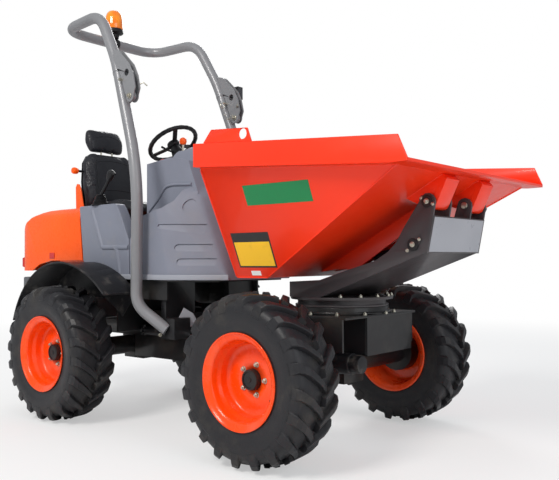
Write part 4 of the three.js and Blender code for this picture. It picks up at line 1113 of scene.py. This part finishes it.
def on_column(part):
    """A part drawn round the z axis at the origin, set square on the steering column at the rim's middle."""
    return np.asarray(part[0]) @ column_basis.T + wheel_centre, part[1]


rim_turn = np.linspace(0, 2 * math.pi, 97)
rim_radius = 0.153
rim_path = np.stack([rim_radius * np.cos(rim_turn), rim_radius * np.sin(rim_turn), 0 * rim_turn], 1)
grip_bumps = 0.0135 + 0.0006 * np.cos(24 * rim_turn)
wheel_parts = [on_column(swept(rim_path, grip_bumps, 16))]
for degrees in (90, 210, 330):
    a = math.radians(degrees)
    outward_way, across = np.array((math.cos(a), math.sin(a), 0)), np.array((-math.sin(a), math.cos(a), 0))
    path = [outward_way * r + (0, 0, h)
            for r, h in ((0.020, -0.012), (0.060, -0.012), (0.110, -0.005), (0.150, 0))]
    wheel_parts.append(on_column(strap(path, 0.014, 0.007, across)))
wheel_parts.append(on_column(spun([(0.030, -0.026), (0.036, -0.020), (0.040, -0.004), (0.038, 0.004),
                                   (0.024, 0.010), (0.010, 0.012)], 32)))
wheel = dress("steering_wheel_rim", wheel_parts, black_plastic, "steering_wheel")
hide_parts("steering_wheel")
dress("column_shroud", [on_column(spun([(0.044, -0.200), (0.046, -0.110), (0.038, -0.070), (0.031, -0.040),
                                        (0.029, -0.034)], 28)),
                        on_column(swept([(0, -0.03, -0.075), (0, -0.075, -0.066), (0.008, -0.125, -0.052)],
                                        [0.007, 0.0055, 0.007], 12))],
      black_plastic, "rear_chassis", 0.001)
dash_tree = skin_tree(bpy.data.objects["cowl_moulding"])


def on_dash(x, y):
    """The point of the dash straight below (x, y), and the surface's direction there."""
    spot, normal, _, _ = dash_tree.ray_cast(Vector(placed((x, y, 2.0))), Vector((0, 0, -1)))
    return np.array(spot), tuple(normal)


stop_spot, stop_up = on_dash(-1.189, -0.145)
stop_collar = spun([(0.024, -0.002), (0.024, 0.006), (0.019, 0.010), (0.014, 0.012)], 28)
stop_head = spun([(0.010, 0.008), (0.010, 0.018), (0.020, 0.020), (0.021, 0.028), (0.014, 0.033)], 28)
dress("stop_collar", [set_at(stop_collar, [stop_spot], stop_up)], plated, "rear_chassis")
dress("stop_button", [set_at(stop_head, [stop_spot], stop_up)], red_lens, "rear_chassis")
knob_spot = on_dash(-1.141, -0.030)[0]
knob_rise = placed((-1.141, -0.030, 1.658))[2] - knob_spot[2]
knob_stem = spun([(0.016, -0.002), (0.016, 0.004), (0.007, 0.008), (0.007, knob_rise - 0.012)], 20)
knob_ball = spun([(0.010, knob_rise - 0.024), (0.018, knob_rise - 0.020), (0.023, knob_rise - 0.004),
                  (0.020, knob_rise + 0.012), (0.010, knob_rise + 0.020)], 28)
dress("knob_stem", [set_at(knob_stem, [knob_spot], (0, 0, 1))], plated, "rear_chassis")
dress("knob", [set_at(knob_ball, [knob_spot], (0, 0, 1))], hood_enamel, "rear_chassis")
switch_parts, bezel_parts = [], []
toggle = spun([(0.005, 0.003), (0.0035, 0.010), (0.005, 0.022), (0.003, 0.025)], 14)
toggle_bezel = spun([(0.015, -0.002), (0.015, 0.003), (0.012, 0.005)], 24)
for y in (0.055, 0.090, 0.125):
    spot, up = on_dash(-1.160, y)
    bezel_parts.append(set_at(toggle_bezel, [spot], up))
    switch_parts.append(set_at(toggle, [spot], (up[0] - 0.25, up[1], up[2])))
gauge_spot, gauge_up = on_dash(-1.130, 0.0)
gauge_ring = spun([(0.040, -0.002), (0.041, 0.006), (0.037, 0.009), (0.034, 0.006)], 40)
gauge_glass = spun([(0.0335, 0.002), (0.0335, 0.0062), (0.030, 0.0068)], 40)
bezel_parts.append(set_at(gauge_ring, [gauge_spot], gauge_up))
dress("dash_switches", switch_parts, plated, "rear_chassis")
dress("dash_bezels", bezel_parts, black_plastic, "rear_chassis")
dress("gauge_glass", [set_at(gauge_glass, [gauge_spot], gauge_up)], lamp_glass, "rear_chassis")


# ---- drive lever ----
# A black hand lever with a shaped grip in a ribbed rubber boot, on the right beside the seat.
lever_foot = placed((-1.522, -0.365, 1.2623))
folds = []
for k in range(15):
    t = k / 14
    folds.append((0.048 - 0.026 * t + (0.0055 if k % 2 else 0), 0.066 * t))
grip_way = np.array((0.50, 0, 0.866))
grip_middle = lever_foot + (0.100, 0, 0.174)
lever_parts = [shifted(spun([(0.056, 0), (0.056, 0.004), (0.050, 0.005)], 28), lever_foot),
               shifted(spun(folds, 28), lever_foot),
               swept([lever_foot + p for p in ((0.004, 0, 0.060), (0.030, 0, 0.090), (0.060, 0, 0.120),
                                               (0.082, 0, 0.150))],
                     0.0105, 14),
               swept([grip_middle + grip_way * d for d in (-0.034, -0.020, 0, 0.018, 0.030, 0.036)],
                     [0.013, 0.019, 0.023, 0.025, 0.020, 0.010], 20),
               swept([grip_middle + p
                      for p in ((0.004, 0, 0.018), (0.030, -0.002, 0.014), (0.048, -0.003, 0.004))],
                     [0.014, 0.013, 0.007], 14)]
lever = dress("lever_and_boot", lever_parts, black_plastic, "rear_chassis")
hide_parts("drive_lever")


# ---- pedals and floor mat ----
# Two hanging pedals with ribbed rubber pads and a ribbed mat on the footwell's floor.
mat_low, mat_high = placed([(-1.320, -0.35, 0.8125), (-0.95, 0.35, 0.8165)])
mat_parts = [plate(rectangle(mat_low[0], mat_high[0], mat_low[2], mat_high[2]), -0.35, 0.35)]
mat_parts += [swept([(x, -0.34, mat_high[2]), (x, 0.34, mat_high[2])], 0.0022, 6)
              for x in np.linspace(mat_low[0] + 0.01, mat_high[0] - 0.01, 24)]
pedal_parts = []
for y in (-0.13, 0.05):
    pedal_parts.append(swept(placed([(-0.985, y, 1.10), (-1.02, y, 0.98), (-1.045, y, 0.915)]), 0.007, 12))
    pad_outline = placed([(-1.052, 0, 0.872), (-1.040, 0, 0.868), (-1.062, 0, 0.955),
                          (-1.074, 0, 0.950)])[:, [0, 2]]
    pedal_parts.append(plate(pad_outline, y - 0.035, y + 0.035))
    pedal_parts += [swept([(x, y - 0.03, z), (x, y + 0.03, z)], 0.0025, 6)
                    for x, z in placed([(-1.054 - 0.022 * t, 0, 0.882 + 0.066 * t)
                                        for t in np.linspace(0, 1, 6)])[:, [0, 2]]]


def rubber_sheet(name):
    """Dull black rubber with a dusty bloom."""
    f = Finish(name)
    return f.coat(f.mix(rgb(36, 36, 38), rgb(84, 80, 74), f.noise(11, 6.0).step(0.45, 0.8) * 0.4), 0.75,
                  0.0, 0.0, f.noise(300, 3.0), 0.0005, 0.4)


dull_rubber = rubber_sheet("dull_rubber")
dress("floor_mat", mat_parts, dull_rubber, "rear_chassis")
dress("pedals", pedal_parts, dull_rubber, "rear_chassis")


# ---- engine hood fittings ----
# Rear air grille of black slats, clear-fronted rear lamps on the corners, red side reflectors and a
# recessed latch.
hood_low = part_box("engine_hood")[0]
slat_parts = []
for z in np.linspace(0.905, 1.035, 9):
    slat = [(hood_low.x + dx, z + dz)
            for dx, dz in ((-0.007, -0.005), (0.001, 0.006), (0.003, 0.004), (-0.005, -0.007))]
    slat_parts.append(plate(slat, -0.222, 0.222))
bezel_out, bezel_in = hood_low.x - 0.007, hood_low.x + 0.002
for y in (-0.220, 0.210):
    slat_parts.append(plate(rectangle(bezel_out, bezel_in, 0.893, 1.047), y, y + 0.010))
for z in (0.893, 1.041):
    slat_parts.append(plate(rectangle(bezel_out, bezel_in, z, z + 0.006), -0.22, 0.22))
dress("hood_grille", slat_parts, black_plastic, "hood")
lamp_parts, reflector_parts = [], []
for way in (-1, 1):
    low, high = sorted((way * 0.300, way * 0.372))
    corner = [(hood_low.x - 0.012, 0.885), (hood_low.x + 0.010, 0.880), (hood_low.x + 0.010, 0.950),
              (hood_low.x - 0.012, 0.945)]
    lamp_parts.append(plate(corner, low, high))
    low, high = sorted((way * 0.4000, way * 0.4035))
    mark = np.array(rectangle(-2.023, -1.968, 0.938, 0.976)) + (axle_x, 0)
    reflector_parts.append(plate(mark, low, high))
dress("rear_lamps", lamp_parts, red_lens, "hood", 0.004, 3)
dress("side_reflectors", reflector_parts, red_lens, "hood", 0.0012)
latch_at = placed((-2.20, 0.0, 1.2435))
latch_cup = spun([(0.024, -0.012), (0.024, 0.003), (0.021, 0.005), (0.014, 0.005)], 28)
latch_key = plate([(-0.016, 0.004), (0.016, 0.004), (0.014, 0.010), (-0.014, 0.010)], -0.004, 0.004)
dress("hood_latch", [shifted(latch_cup, latch_at), shifted(latch_key, latch_at)], black_plastic, "hood")


# ---- skip fittings ----
# Weld beads along the folds and round the ribs, blank coloured sign plates on both flanks and blank
# small plates low down.
def bead(path, radius=0.0035):
    """A weld bead: a tube along a path whose radius swells with each lap of the torch, every 6 mm."""
    path = np.asarray(path, float)
    length = np.concatenate([[0], np.cumsum(np.linalg.norm(np.diff(path, axis=0), axis=1))])
    count = max(8, int(length[-1] / 0.003))
    s = np.linspace(0, length[-1], count)
    fine = np.stack([np.interp(s, length, path[:, k]) for k in range(3)], 1)
    return swept(fine, radius * (1 + 0.14 * np.cos(2 * math.pi * s / 0.006)), 6)


skip_floor_half, skip_floor_height = 0.430, 0.835
flank_lean = 0.225 / 0.532


def flank(x, z, way, off=0.0):
    """The point of the skip's sloping flank at x and height z, off metres outside it."""
    y = skip_floor_half + (z - skip_floor_height) * flank_lean
    slope = math.hypot(1, flank_lean)
    return placed((x, way * (y + off / slope), z - off * flank_lean / slope))


def flank_sign(corners, way, thickness):
    """A thin plate on the flank: four (x, z) corners on the surface, its outer face thickness off it."""
    points = [flank(x, z, way, off) for off in (0.0002, thickness) for x, z in corners]
    return points, [[0, 1, 2, 3], [7, 6, 5, 4], [0, 4, 5, 1], [1, 5, 6, 2], [2, 6, 7, 3], [3, 7, 4, 0]]


def sign_finish(name, colour, worn):
    """Printed film: one colour, faintly scuffed and dusty."""
    f = Finish(name)
    return f.coat(f.mix(colour, worn, f.noise(30, 5.0).step(0.5, 0.8) * 0.35),
                  f.noise(40, 3.0) * 0.15 + 0.28, 0.0, 0.2)


sign_green = sign_finish("sign_green", rgb(0, 122, 66), rgb(20, 104, 62))
sign_yellow = sign_finish("sign_yellow", rgb(246, 190, 20), rgb(214, 164, 30))
sign_black = sign_finish("sign_black", rgb(26, 26, 26), rgb(52, 50, 48))
sign_white = sign_finish("sign_white", rgb(236, 236, 232), rgb(206, 204, 198))
sign_list = (("green_plate", rectangle(-0.098, 0.286, 1.172, 1.262), 0.0012, sign_green),
             ("sign_ground", rectangle(-0.262, -0.022, 0.884, 1.050), 0.0010, sign_black),
             ("sign_face", rectangle(-0.254, -0.030, 0.892, 1.006), 0.0016, sign_yellow),
             ("small_plate", rectangle(-0.196, -0.136, 0.846, 0.868), 0.0012, sign_white))
for side, way in (("right", -1), ("left", 1)):
    for name, corners, thickness, material in sign_list:
        dress(f"{name}_{side}", [flank_sign(corners, way, thickness)], material, "skip")
front_rise = 0.5442
weld_parts = []
for way in (-1, 1):
    fold = [flank(-0.101 + 0.836 * t, skip_floor_height + 0.455 * t, way)
            for t in np.linspace(0.01, 0.99, 8)]
    weld_parts.append(bead(fold))
    rear_fold = [flank(-0.305 - 0.030 * t, skip_floor_height + 0.532 * t, way)
                 for t in np.linspace(0.01, 0.97, 8)]
    weld_parts.append(bead(rear_fold))
    weld_parts.append(bead([flank(x, skip_floor_height, way) for x in (-0.300, -0.103)]))
    for y in (0.050, 0.062):
        weld_parts.append(bead(placed([(-0.055 + 0.57 * t, way * y, 0.859 + 0.570 * front_rise * t)
                                       for t in np.linspace(0.02, 0.98, 6)]), 0.0028))
    for y in (0.1165, 0.2362):
        weld_parts.append(bead(placed([(0.548 + 0.174 * t, way * y, 1.188 + 0.174 * front_rise * t)
                                       for t in np.linspace(0, 1, 4)]), 0.0028))
for side, way in (("right", -1), ("left", 1)):
    plate_low, plate_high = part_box(f"skip_lifting_plate_{side}")
    inner_y = plate_low.y if way > 0 else plate_high.y
    weld_parts.append(bead([(plate_low.x + 0.004, inner_y, 1.4692), (plate_high.x - 0.004, inner_y, 1.4463)]))
stitch_from, stitch_to = placed([(0.119, 0.011, 0.955), (0.387, -0.063, 1.101)])
for k in range(7):
    lap = np.array([(k + 0.1) / 7, (k + 0.6) / 7])[:, None]
    weld_parts.append(bead(stitch_from + (stitch_to - stitch_from) * lap, 0.0045))
dress("skip_welds", weld_parts, skip_enamel, "skip")


# ---- carrier fittings ----
# Keeper plates with two zinc bolts and a dark cap with a bolt at each pin, zinc bolts round the slewing
# ring, a thin pale plate over the charcoal nose whose light grey is a painted reflection of the bright sky,
# and the tipping cylinder's two hoses clipped along the inside.
swivel_x = 0.025
ring_bolt_circle = 0.250
fixed_bolt_circle = 0.262
side_y = 0.256
keeper_thickness = 0.004
keeper_parts, keeper_bolts, pin_covers = [], [], []
pin_cover = spun([(0.027, 0), (0.027, 0.003), (0.025, 0.0045)], 28)
for way in (-1, 1):
    for (x, z), bolt_offsets in (((0.660, 1.168), ((-0.026, 0.014), (0.027, -0.013))),
                                 ((0.589, 0.983), ((0.031, 0.022), (-0.028, -0.026)))):
        lengthways = np.array(bolt_offsets[0]) - np.array(bolt_offsets[1])
        lengthways /= np.linalg.norm(lengthways)
        crossways = np.array((-lengthways[1], lengthways[0]))
        reach = np.linalg.norm(bolt_offsets[0]) + 0.009
        corners = [np.array((x, z)) + lengthways * a + crossways * b
                   for a, b in ((-reach, -0.010), (-0.012, -0.021), (0.012, -0.021), (reach, -0.010),
                                (reach, 0.010), (0.012, 0.021), (-0.012, 0.021), (-reach, 0.010))]
        keeper_face = side_y + 0.0004 + keeper_thickness
        low, high = sorted((way * (side_y + 0.0004), way * keeper_face))
        keeper_parts += on_machine([plate(corners, low, high, (x, z, 0.0165))])
        end_y = way * (side_y + 0.0050)
        pin_covers.append(set_at(pin_cover, placed([(x, end_y, z)]), (0, way, 0)))
        keeper_bolts += bolt_heads(placed([(x, end_y + way * 0.004, z)]), (0, way, 0), 0.019)
        for dx, dz in bolt_offsets:
            keeper_bolts += bolt_heads(placed([(x + dx, way * keeper_face, z + dz)]), (0, way, 0), 0.013)
dress("pin_covers", pin_covers, black_enamel, "skip_carrier")
dress("pin_keepers", keeper_parts, charcoal_enamel, "skip_carrier", 0.0006)
angle = np.radians(np.arange(0, 360, 22.5) + 11.25)
ring_places = placed([(swivel_x + ring_bolt_circle * math.cos(a), ring_bolt_circle * math.sin(a), 0.7372)
                      for a in angle])
keep = [i for i in range(16) if abs(ring_places[i][1]) > 0.262 or ring_places[i][0] < axle_x - 0.115
        or ring_places[i][0] > axle_x + 0.085]
keeper_bolts += bolt_heads(ring_places[keep], (0, 0, 1), 0.018)
dress("carrier_bolts", keeper_bolts, plated, "skip_carrier")
# Pale grey enamel: on the frame gussets the bare steel's own colour, on the nose plate a painted sheen, the
# sky's reflection on the charcoal front face put into the colour.
pale_steel_and_painted_sheen = enamel("pale_steel_and_painted_sheen", rgb(162, 164, 170), rgb(148, 150, 157), 0.3, 0.1)
# A thin plate over the charcoal nose, pale grey as a painted reflection of the bright sky.
nose = plate([(0.6556, 0.951), (0.6575, 0.951), (0.6885, 1.1005), (0.6866, 1.1005)], -0.243, 0.243)
dress("nose_sky_sheen", on_machine([nose]), pale_steel_and_painted_sheen, "skip_carrier", 0.0008)


def hose_finish():
    """Black hydraulic hose with a faint wrapped texture."""
    f = Finish("hose_rubber")
    wrap = f.wire("ShaderNodeTexVoronoi", output="Distance", Vector=f.place, Scale=380.0)
    return f.coat(f.mix(rgb(28, 28, 30), rgb(60, 58, 55), f.noise(14, 5.0).step(0.5, 0.8) * 0.4),
                  f.noise(60) * 0.2 + 0.4, 0.0, 0.0, wrap, 0.0006, 0.5)


hose_rubber = hose_finish()


def hose(corners, bends, radius=0.008):
    """A hose held all the way, with a crimped sleeve at each end; returns hose and sleeve parts."""
    path = rounded_path(placed(corners), bends, 8)
    sleeves = []
    for end, beside in ((path[0], path[1]), (path[-1], path[-2])):
        way_in = (beside - end) / np.linalg.norm(beside - end)
        sleeves.append(swept([end - way_in * 0.004, end, end + way_in * 0.024, end + way_in * 0.028],
                             [radius * 1.1, radius * 1.35, radius * 1.35, radius * 1.15], 14))
    return swept(path, radius, 14), sleeves


carrier_hoses, carrier_sleeves, clip_parts = [], [], []
for y, top in ((-0.150, 0.775), (-0.172, 0.775)):
    part, sleeves = hose([(0.02, y, 0.742), (0.02, y, top), (0.09, y, top + 0.012), (0.34, y, 0.872),
                          (0.540, y, 0.945)],
                         [0.02, 0.03, 0.05])
    carrier_hoses.append(part)
    carrier_sleeves += sleeves
for x, z in ((0.16, 0.8115), (0.42, 0.902)):
    clip_parts.append(plate([(x - 0.012, z - 0.012), (x + 0.012, z - 0.004), (x + 0.012, z + 0.012),
                             (x - 0.012, z + 0.004)],
                            -0.186, -0.136))
dress("carrier_hoses", carrier_hoses, hose_rubber, "skip_carrier")
dress("carrier_hose_ends", carrier_sleeves, plated, "skip_carrier")
dress("carrier_hose_clips", on_machine(clip_parts), black_plastic, "skip_carrier", 0.001)


# ---- chassis fittings ----
# Bolted axle pads, black hydraulic hoses clipped to the rear frame, zinc bolts at the fold in the
# frame, and a grease nipple on the centre pin.
pad_bolt_places = placed([(x, y, 0.461) for x in (-0.045, 0.045) for y in (-0.30, 0.30)])
front_bolts = bolt_heads(pad_bolt_places, (0, 0, 1), 0.02)
fixed_places = placed([(swivel_x + fixed_bolt_circle * math.cos(a), fixed_bolt_circle * math.sin(a), 0.6532)
                       for a in np.radians(np.arange(0, 360, 30))])
front_bolts += bolt_heads(fixed_places, (0, 0, 1), 0.018)
dress("front_frame_bolts", front_bolts, plated, "front_chassis")
pin_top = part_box("articulation_pin")[1]
nipple = spun([(0.004, 0), (0.004, 0.006), (0.0025, 0.009), (0.0035, 0.012), (0.002, 0.014)], 10)
dress("grease_nipple", [set_at(nipple, placed([(-0.7765, 0, pin_top.z - 0.001)]), (0, 0, 1))], plated,
      "front_chassis")
frame_face = 0.3782
rear_bolts = []
for way in (-1, 1):
    rear_bolts += bolt_heads(placed([(-0.980, way * frame_face, 0.567)]), (0, way, 0), 0.016)
    rear_bolts += bolt_heads(placed([(-0.946, way * frame_face, z) for z in (0.505, 0.580)]), (0, way, 0),
                             0.018)
dress("rear_frame_bolts", rear_bolts, plated, "rear_chassis")
rear_hoses, rear_sleeves = [], []
z = 0.640
for y in (0.100, 0.124, 0.148):
    part, sleeves = hose([(-1.325, y, z + 0.03), (-1.26, y, z + 0.03), (-1.20, y, z), (-1.04, y, z),
                          (-0.965, y, z - 0.012)],
                         [0.03, 0.03, 0.02], 0.010)
    rear_hoses.append(part)
    rear_sleeves += sleeves
rear_clip = plate(rectangle(-1.10, -1.07, 0.620, 0.653), 0.082, 0.166)
dress("rear_hoses", rear_hoses, hose_rubber, "rear_chassis")
dress("rear_hose_ends", rear_sleeves, plated, "rear_chassis")
dress("rear_hose_clips", on_machine([rear_clip]), black_plastic, "rear_chassis", 0.001)


# ---- mudguards' rims ----
# A rolled bead runs round each guard's outer edge and across its front end.
rear_axle_x, axle_height = -1.553, 0.390
back_radius, front_radius = 0.525, 0.700


def guard_rim(inset):
    """The guard's outline: an arc of 0.525 m round the wheel from 162 to 80 degrees that turns into a flatter
    one of 0.700 m down to 48 degrees, both drawn inset metres inside."""
    back = arc(rear_axle_x, axle_height, back_radius - inset, 162, 80, 16)
    turn, offset = math.radians(80), front_radius - back_radius
    flat_x, flat_z = rear_axle_x - offset * math.cos(turn), axle_height - offset * math.sin(turn)
    return np.concatenate([back, arc(flat_x, flat_z, front_radius - inset, 78, 48, 8)])


guard_outer = 0.6385
rim_line = guard_rim(0.001)
for side, way in (("right", -1), ("left", 1)):
    lip = placed([(x, way * guard_outer, z) for x, z in rim_line])
    front = placed([(rim_line[-1][0], way * y, rim_line[-1][1])
                    for y in np.linspace(guard_outer, 0.412, 8)])
    dress(f"guard_lip_{side}", [swept(lip, 0.0055, 10), swept(front, 0.0055, 10)], black_plastic,
          "rear_chassis")


# ---- frame gusset ----
# A bare steel gusset folded over the shoulder of the rear frame, near the hinge.
gusset_thickness = 0.004
gusset_line = [(-0.901, -0.330, 0.531), (-0.869, -0.275, 0.655), (-0.846, -0.226, 0.620),
               (-0.846, -0.190, 0.563), (-0.846, -0.226, 0.548)]
gusset_out = np.array([(0.90, -0.44, 0), (0.90, -0.44, 0), (0.98, -0.2, 0), (1, 0, 0), (0.98, -0.2, 0)])
for side, way in (("right", 1), ("left", -1)):
    inner = placed(gusset_line) + gusset_out * 0.0015
    outer = inner + gusset_out * gusset_thickness
    points = np.concatenate([inner, outer]) * (1, way, 1)
    faces = [[0, 1, 2, 4], [2, 3, 4], [5, 6, 7, 9], [7, 8, 9]]
    faces += [[i, (i + 1) % 5, 5 + (i + 1) % 5, 5 + i] for i in range(5)]
    dress(f"frame_gusset_{side}", [(points, faces)], pale_steel_and_painted_sheen, "rear_chassis", 0.0006)


# ---- wheel centres ----
# Five zinc wheel nuts on studs, a dark dust cap with a ring of its own, and a tyre valve.
nut_count, nut_circle = 5, 0.070
valve_circle, valve_turn = 0.150, 2.1
cap = spun([(0.0475, 0.0), (0.0475, 0.030), (0.044, 0.036), (0.036, 0.038), (0.034, 0.034), (0.012, 0.034),
            (0.010, 0.037), (0.004, 0.038)], 36)
valve = spun([(0.006, 0), (0.006, 0.014), (0.004, 0.016), (0.004, 0.028), (0.005, 0.029), (0.005, 0.038),
              (0.003, 0.040)], 12)
for place in ("front", "rear"):
    for side, way in (("right", -1), ("left", 1)):
        centre = np.array(centre_of(f"{place}_rim_{side}"))
        body = f"wheel_{place}_{side}"
        nuts = [centre + (nut_circle * math.sin(a), way * 0.021, nut_circle * math.cos(a))
                for a in np.radians(np.arange(nut_count) * 360 / nut_count + 18)]
        dress(f"{place}_nuts_{side}", bolt_heads(nuts, (0, way, 0), 0.021), plated, body)
        dress(f"{place}_hub_cap_{side}", [set_at(cap, [centre + (0, way * 0.013, 0)], (0, way, 0))],
              black_enamel, body)
        valve_at = centre + (valve_circle * math.sin(valve_turn), way * 0.020,
                             valve_circle * math.cos(valve_turn))
        dress(f"{place}_valve_{side}", [set_at(valve, [valve_at], (0, way, 0))], dull_rubber, body)
